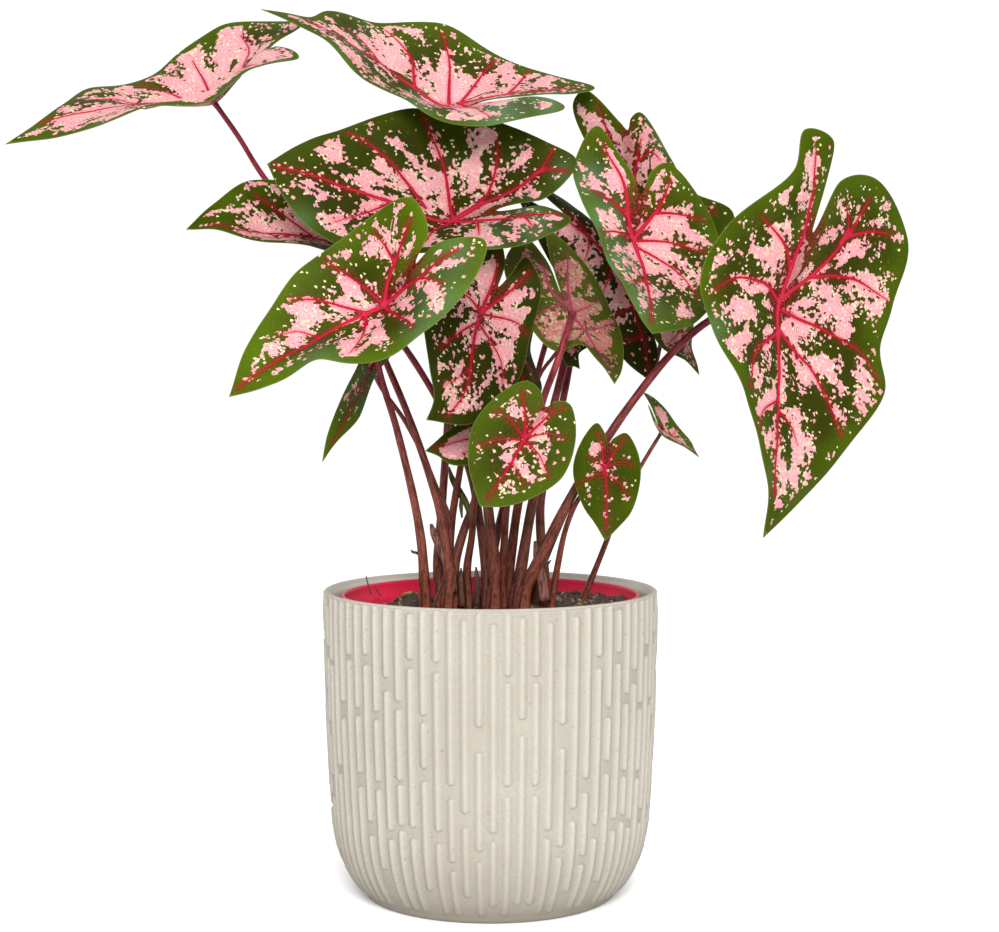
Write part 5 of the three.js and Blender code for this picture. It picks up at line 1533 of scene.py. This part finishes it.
# %% The rib tree
def rib_tree():
    inputs = {"Width": "NodeSocketFloat", "Height": "NodeSocketFloat", "Finish": "NodeSocketMaterial"}
    tree, sizes = new_tree("pot ribs", inputs)
    line = tree.node("GeometryNodeMeshToCurve", {}, {"Mesh": sizes["Geometry"]})
    way = named(tree, "way", "FLOAT_VECTOR")
    line = tree.node("GeometryNodeSetCurveNormal", {"mode": "FREE"}, {"Curve": line, "Normal": way})
    ring = tree.node("GeometryNodeCurvePrimitiveCircle", {}, {"Resolution": 20, "Radius": 1.0})
    out, across, _ = tree.parts(tree.node("GeometryNodeInputPosition", {}, {}))
    wave = across * math.pi
    bell = wave.sum("COSINE", wave) * 0.5 + 0.5
    rise = bell * (bell * 0.5 + 0.5) * (out > 0.01) - (-out > -0.01) * 0.2
    spot = tree.vector(rise * sizes["Height"], across * sizes["Width"] * 0.5, 0.0)
    ring = keep(tree, ring, "rise", rise)
    ring = tree.node("GeometryNodeSetPosition", {}, {"Geometry": ring, "Position": spot})
    inputs = {"Curve": line, "Profile Curve": ring, "Scale": named(tree, "thick"), "Fill Caps": True}
    rib = tree.node("GeometryNodeCurveToMesh", {}, inputs)
    return end_tree(tree, rib, sizes["Finish"])


# %% Make the pot and its ribs
corners, faces = turned(pot_section(), POT_STEPS)
pot = make_mesh("cover pot", corners, faces, [cream_stoneware])
pot.set_sharp_from_angle(angle=math.radians(40))
show("pot_wall", pot, "cover_pot", "cover_pot")
stretches = rib_stretches()
rib_sizes = {"Width": RIB_WIDTH * MM, "Height": RIB_PROUD * MM, "Finish": cream_stoneware.material}
ribs = baked("pot ribs", rib_paths(stretches), rib_tree(), rib_sizes)
show("pot_ribs", ribs, "cover_pot")
print("rib stretches:", len(stretches), "faces:", len(ribs.polygons))

# %% [markdown]
# ## The nursery pot
# The grower's pot is thin crimson plastic, glossy where it is clean and dusty with soil near the bottom of
# the free wall. Its rim stands a little under the stoneware lip. It is turned like the cover pot.

# %% Nursery pot
DEEP_CRIMSON = (0.4, 0.0, 0.022, 1)
CLEAR_CRIMSON = (0.56, 0.0, 0.038, 1)


def crimson_plastic():
    finish = Finish("crimson_plastic")
    where = finish.here()
    streak = finish.clouds(where, 60, 3, 0.6)
    height = finish.height()
    skin = finish.paint(streak, DEEP_CRIMSON, CLEAR_CRIMSON)
    dust = (height + finish.clouds(where, 260, 3, 0.7) * 9).to(129.5, 126.5)
    skin = finish.paint(dust * 0.3, skin, colour("#6a1418"))
    finish.set(Base_Color=skin, Roughness=0.4 + dust * 0.3 + streak * 0.1)
    finish.set(Normal=finish.bump(streak, 0.15, 0.2), Specular_IOR_Level=0.3)
    return finish


plastic = crimson_plastic()
nursery = [
    (0, 5.9), (45, 5.9), (46, 6.3), (46.6, 7.2), (62.6, 121.6), (63.9, 122), (64.4, 123), (64.6, 129.6),
    (64.4, 130.3), (63.9, 130.7), (63.4, 130.7), (63, 130.2), (62.9, 129.4), (62.6, 122.6), (61.5, 121.6),
    (45.6, 7.6), (44.6, 7.1), (0, 7.1),
]
corners, faces = turned(nursery, 128)
cup = make_mesh("nursery pot", corners, faces, [plastic])
cup.set_sharp_from_angle(angle=math.radians(50))
show("nursery_cup", cup, "nursery_pot", "nursery_pot")
print("nursery pot:", 2 * max(nursery)[0], "mm across its rim")

# %% [markdown]
# ## The soil
# Potting soil is a dark, damp mix of peat crumbs, bark and pale perlite. Its surface is a disc raised by
# broad waves, clods and one heap behind the left stalks. Loose pieces are scattered over it by a tree: it
# picks places on the surface with a fixed seed, sets a rough lump on each, turns and scales it, and then
# pushes every corner by noise, so that no two of the finished lumps are alike.

# %% The soil's finish and its crumbs' finishes
def crumbly(name, dark, light, flecks, scale):
    finish = Finish(name)
    where = finish.here()
    lumps = finish.clouds(where, scale, 4, 0.7)
    fine = finish.clouds(where, scale * 5, 2, 0.6)
    skin = finish.paint(lumps.to(0.35, 0.65), colour(dark), colour(light))
    skin = finish.paint(fine.to(0.6, 0.7) * 0.7, skin, colour(flecks))
    finish.set(Base_Color=skin, Roughness=0.75 + (lumps - 0.5) * 0.4)
    finish.set(Normal=finish.bump(lumps + fine * 0.5, 0.8, 0.5))
    return finish


soil_mix = crumbly("potting_soil", "#1a0f08", "#46301c", "#a07c4a", 420)
peat = crumbly("peat_crumbs", "#1c0f07", "#5c3a20", "#b08a56", 700)
bark = crumbly("bark_chips", "#69421f", "#b98d56", "#e2c48c", 500)
perlite = crumbly("perlite", "#a79a84", "#d9cfbb", "#efe8da", 900)

# %% The soil's surface
SOIL_RADIUS = 62.2
SOIL_FOOT = 45.0
SOIL_BOTTOM = 8
SOIL_RINGS = 52
SOIL_STEPS = 168


def soil_top(x, y):
    """Height of the soil, the same broad waves as in the solid model and finer ones on top."""
    waves = 0.6 * math.sin(0.16 * x + 1.3) * math.cos(0.19 * y - 0.4)
    waves += 0.4 * math.sin(0.41 * x - 0.33 * y) * math.cos(0.47 * y + 0.12 * x)
    clods = noise.fractal(Vector((x, y, 0)) * 0.17, 1.0, 2.2, 4)
    slope = 2.6 * math.tanh(x / 26) - 0.8
    heap = 7.5 * math.exp(-((x + 35) ** 2 + (y - 22) ** 2) / 75)
    return SOIL_HEIGHT + 1.6 * waves + 1.1 * clods + slope + heap


def soil_mesh():
    """A shell from the top's middle outwards and down, so each face of `shell` is turned over."""
    corners = [(0, 0, soil_top(0, 0))]
    rings = [(SOIL_RADIUS * ring / SOIL_RINGS, None) for ring in range(1, SOIL_RINGS + 1)]
    for radius, height in [*rings, (SOIL_RADIUS - 0.6, 119), (SOIL_FOOT, SOIL_BOTTOM)]:
        for step in range(SOIL_STEPS):
            angle = step * math.tau / SOIL_STEPS
            x, y = radius * math.cos(angle), radius * math.sin(angle)
            corners.append((x, y, height or soil_top(x, y)))
    corners.append((0, 0, SOIL_BOTTOM))
    faces = [(face[0], *face[:0:-1]) for face in shell(SOIL_RINGS + 2, SOIL_STEPS)]
    return make_mesh("potting soil", corners, faces, [soil_mix])


soil = soil_mesh()
show("soil", soil, "potting_soil", "potting_soil")
print("soil:", len(soil.polygons), "faces")


# %% The scattering tree
def scattering_tree():
    inputs = {
        "Count": "NodeSocketFloat", "Smallest": "NodeSocketFloat", "Largest": "NodeSocketFloat",
        "Flatness": "NodeSocketVector", "Seed": "NodeSocketInt", "Finish": "NodeSocketMaterial",
    }
    tree, sizes = new_tree("soil crumbs", inputs)
    inputs = {"Mesh": sizes["Geometry"], "Density": sizes["Count"], "Seed": sizes["Seed"]}
    spots = tree.node("GeometryNodeDistributePointsOnFaces", {"distribute_method": "RANDOM"}, inputs)
    lump = tree.node("GeometryNodeMeshIcoSphere", {}, {"Radius": 0.5, "Subdivisions": 2})
    lump = tree.node("GeometryNodeTransform", {}, {"Geometry": lump, "Scale": sizes["Flatness"]})
    spin = {0: (0, 0, 0), 1: (0.9, 0.9, 6.28), "Seed": sizes["Seed"]}
    turn = tree.node("FunctionNodeRandomValue", {"data_type": "FLOAT_VECTOR"}, spin)
    unit = {2: 0.0, 3: 1.0, "Seed": sizes["Seed"] + 7}
    size = tree.node("FunctionNodeRandomValue", {"data_type": "FLOAT"}, unit, 1)
    size = sizes["Smallest"] + (sizes["Largest"] - sizes["Smallest"]) * size * size
    inputs = {"Points": spots, "Instance": lump, "Rotation": turn, "Scale": size}
    grains = tree.node("GeometryNodeInstanceOnPoints", {}, inputs)
    real = tree.node("GeometryNodeRealizeInstances", {}, {"Geometry": grains})
    push = tree.node("ShaderNodeTexNoise", {}, {"Scale": 700.0, "Detail": 1.0}, "Color")
    push = tree.node("ShaderNodeVectorMath", {"operation": "SUBTRACT"}, {0: push, 1: (0.5, 0.5, 0.5)})
    push = tree.node("ShaderNodeVectorMath", {"operation": "SCALE"}, {0: push, "Scale": 0.0026})
    real = tree.node("GeometryNodeSetPosition", {}, {"Geometry": real, "Offset": push})
    return end_tree(tree, real, sizes["Finish"])


# %% Scatter the crumbs
crumb_tree = scattering_tree()
PER_AREA = 1e6


def soil_surface():
    """Only the top of the soil, a little inside its edge."""
    mesh = soil.copy()
    last = (SOIL_RINGS - 3) * SOIL_STEPS
    bad = [face.index for face in mesh.polygons if max(face.vertices) > last]
    work = bmesh.new()
    work.from_mesh(mesh)
    work.faces.ensure_lookup_table()
    bmesh.ops.delete(work, geom=[work.faces[index] for index in bad], context="FACES")
    work.to_mesh(mesh)
    work.free()
    return mesh


for name, finish, count, smallest, largest, flatness, seed in (
    ("soil_peat", peat, 0.075, 0.9, 4.4, (1, 0.8, 0.65), 4),
    ("soil_bark", bark, 0.026, 1.2, 5.4, (1.3, 0.6, 0.36), 9),
    ("soil_perlite", perlite, 0.012, 0.7, 2.0, (1, 0.9, 0.8), 15),
):
    values = {
        "Count": count * PER_AREA, "Smallest": smallest * MM, "Largest": largest * MM,
        "Flatness": flatness, "Seed": seed, "Finish": finish.material,
    }
    mesh = baked(name, soil_surface(), crumb_tree, values)
    show(name, mesh, "potting_soil")
    print(name, len(mesh.polygons), "faces")

# %% [markdown]
# ## The tubers
# The tubers are hidden in the soil and keep their solid nodes. They get a rough brown skin of their own.

# %% Skin of the tubers
tuber_skin = crumbly("tuber_skin", "#3b2417", "#6f4b33", "#8d6c4d", 240)
for name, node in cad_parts.items():
    if name.startswith("tuber"):
        node.data.materials.clear()
        node.data.materials.append(tuber_skin.material)
        print(name, "has its skin")

# %% [markdown]
# ## Floor and light
# The plant stands on a wide white floor under a white sky, as in a studio with no corners. The sky gives
# the soft light from everywhere, and two large lamps, one over the camera and one above the plant, shape
# the leaves.

# %% Floor, sky and lamps
floor_finish = Finish("white_floor")
floor_finish.set(Base_Color=(0.93, 0.93, 0.93, 1), Roughness=0.9)
FLOOR_REACH = 4000
floor_corners = [(x * FLOOR_REACH, y * FLOOR_REACH, 0) for x, y in ((-1, -1), (1, -1), (1, 1), (-1, 1))]
floor = bpy.data.objects.new("floor", make_mesh("floor", floor_corners, [(0, 1, 2, 3)], [floor_finish]))
bpy.context.collection.objects.link(floor)

world = bpy.data.worlds.new("sky")
bpy.context.scene.world = world
world.use_nodes = True
world.node_tree.nodes["Background"].inputs["Color"].default_value = (1, 1, 1, 1)
world.node_tree.nodes["Background"].inputs["Strength"].default_value = 1.08


def lamp(name, where, target, size, power):
    light = bpy.data.lights.new(name, "AREA")
    light.shape = "DISK"
    light.size = size
    light.energy = power
    holder = bpy.data.objects.new(name, light)
    holder.location = where
    holder.rotation_euler = (Vector(target) - Vector(where)).to_track_quat("-Z", "Y").to_euler()
    bpy.context.collection.objects.link(holder)


lamp("key", (0.08, -1.75, 0.95), (0, 0, 0.2), 0.8, 52)
lamp("top", (0.3, -0.5, 2.0), (0, 0, 0.2), 0.8, 12)
bpy.context.scene.view_settings.view_transform = "Standard"
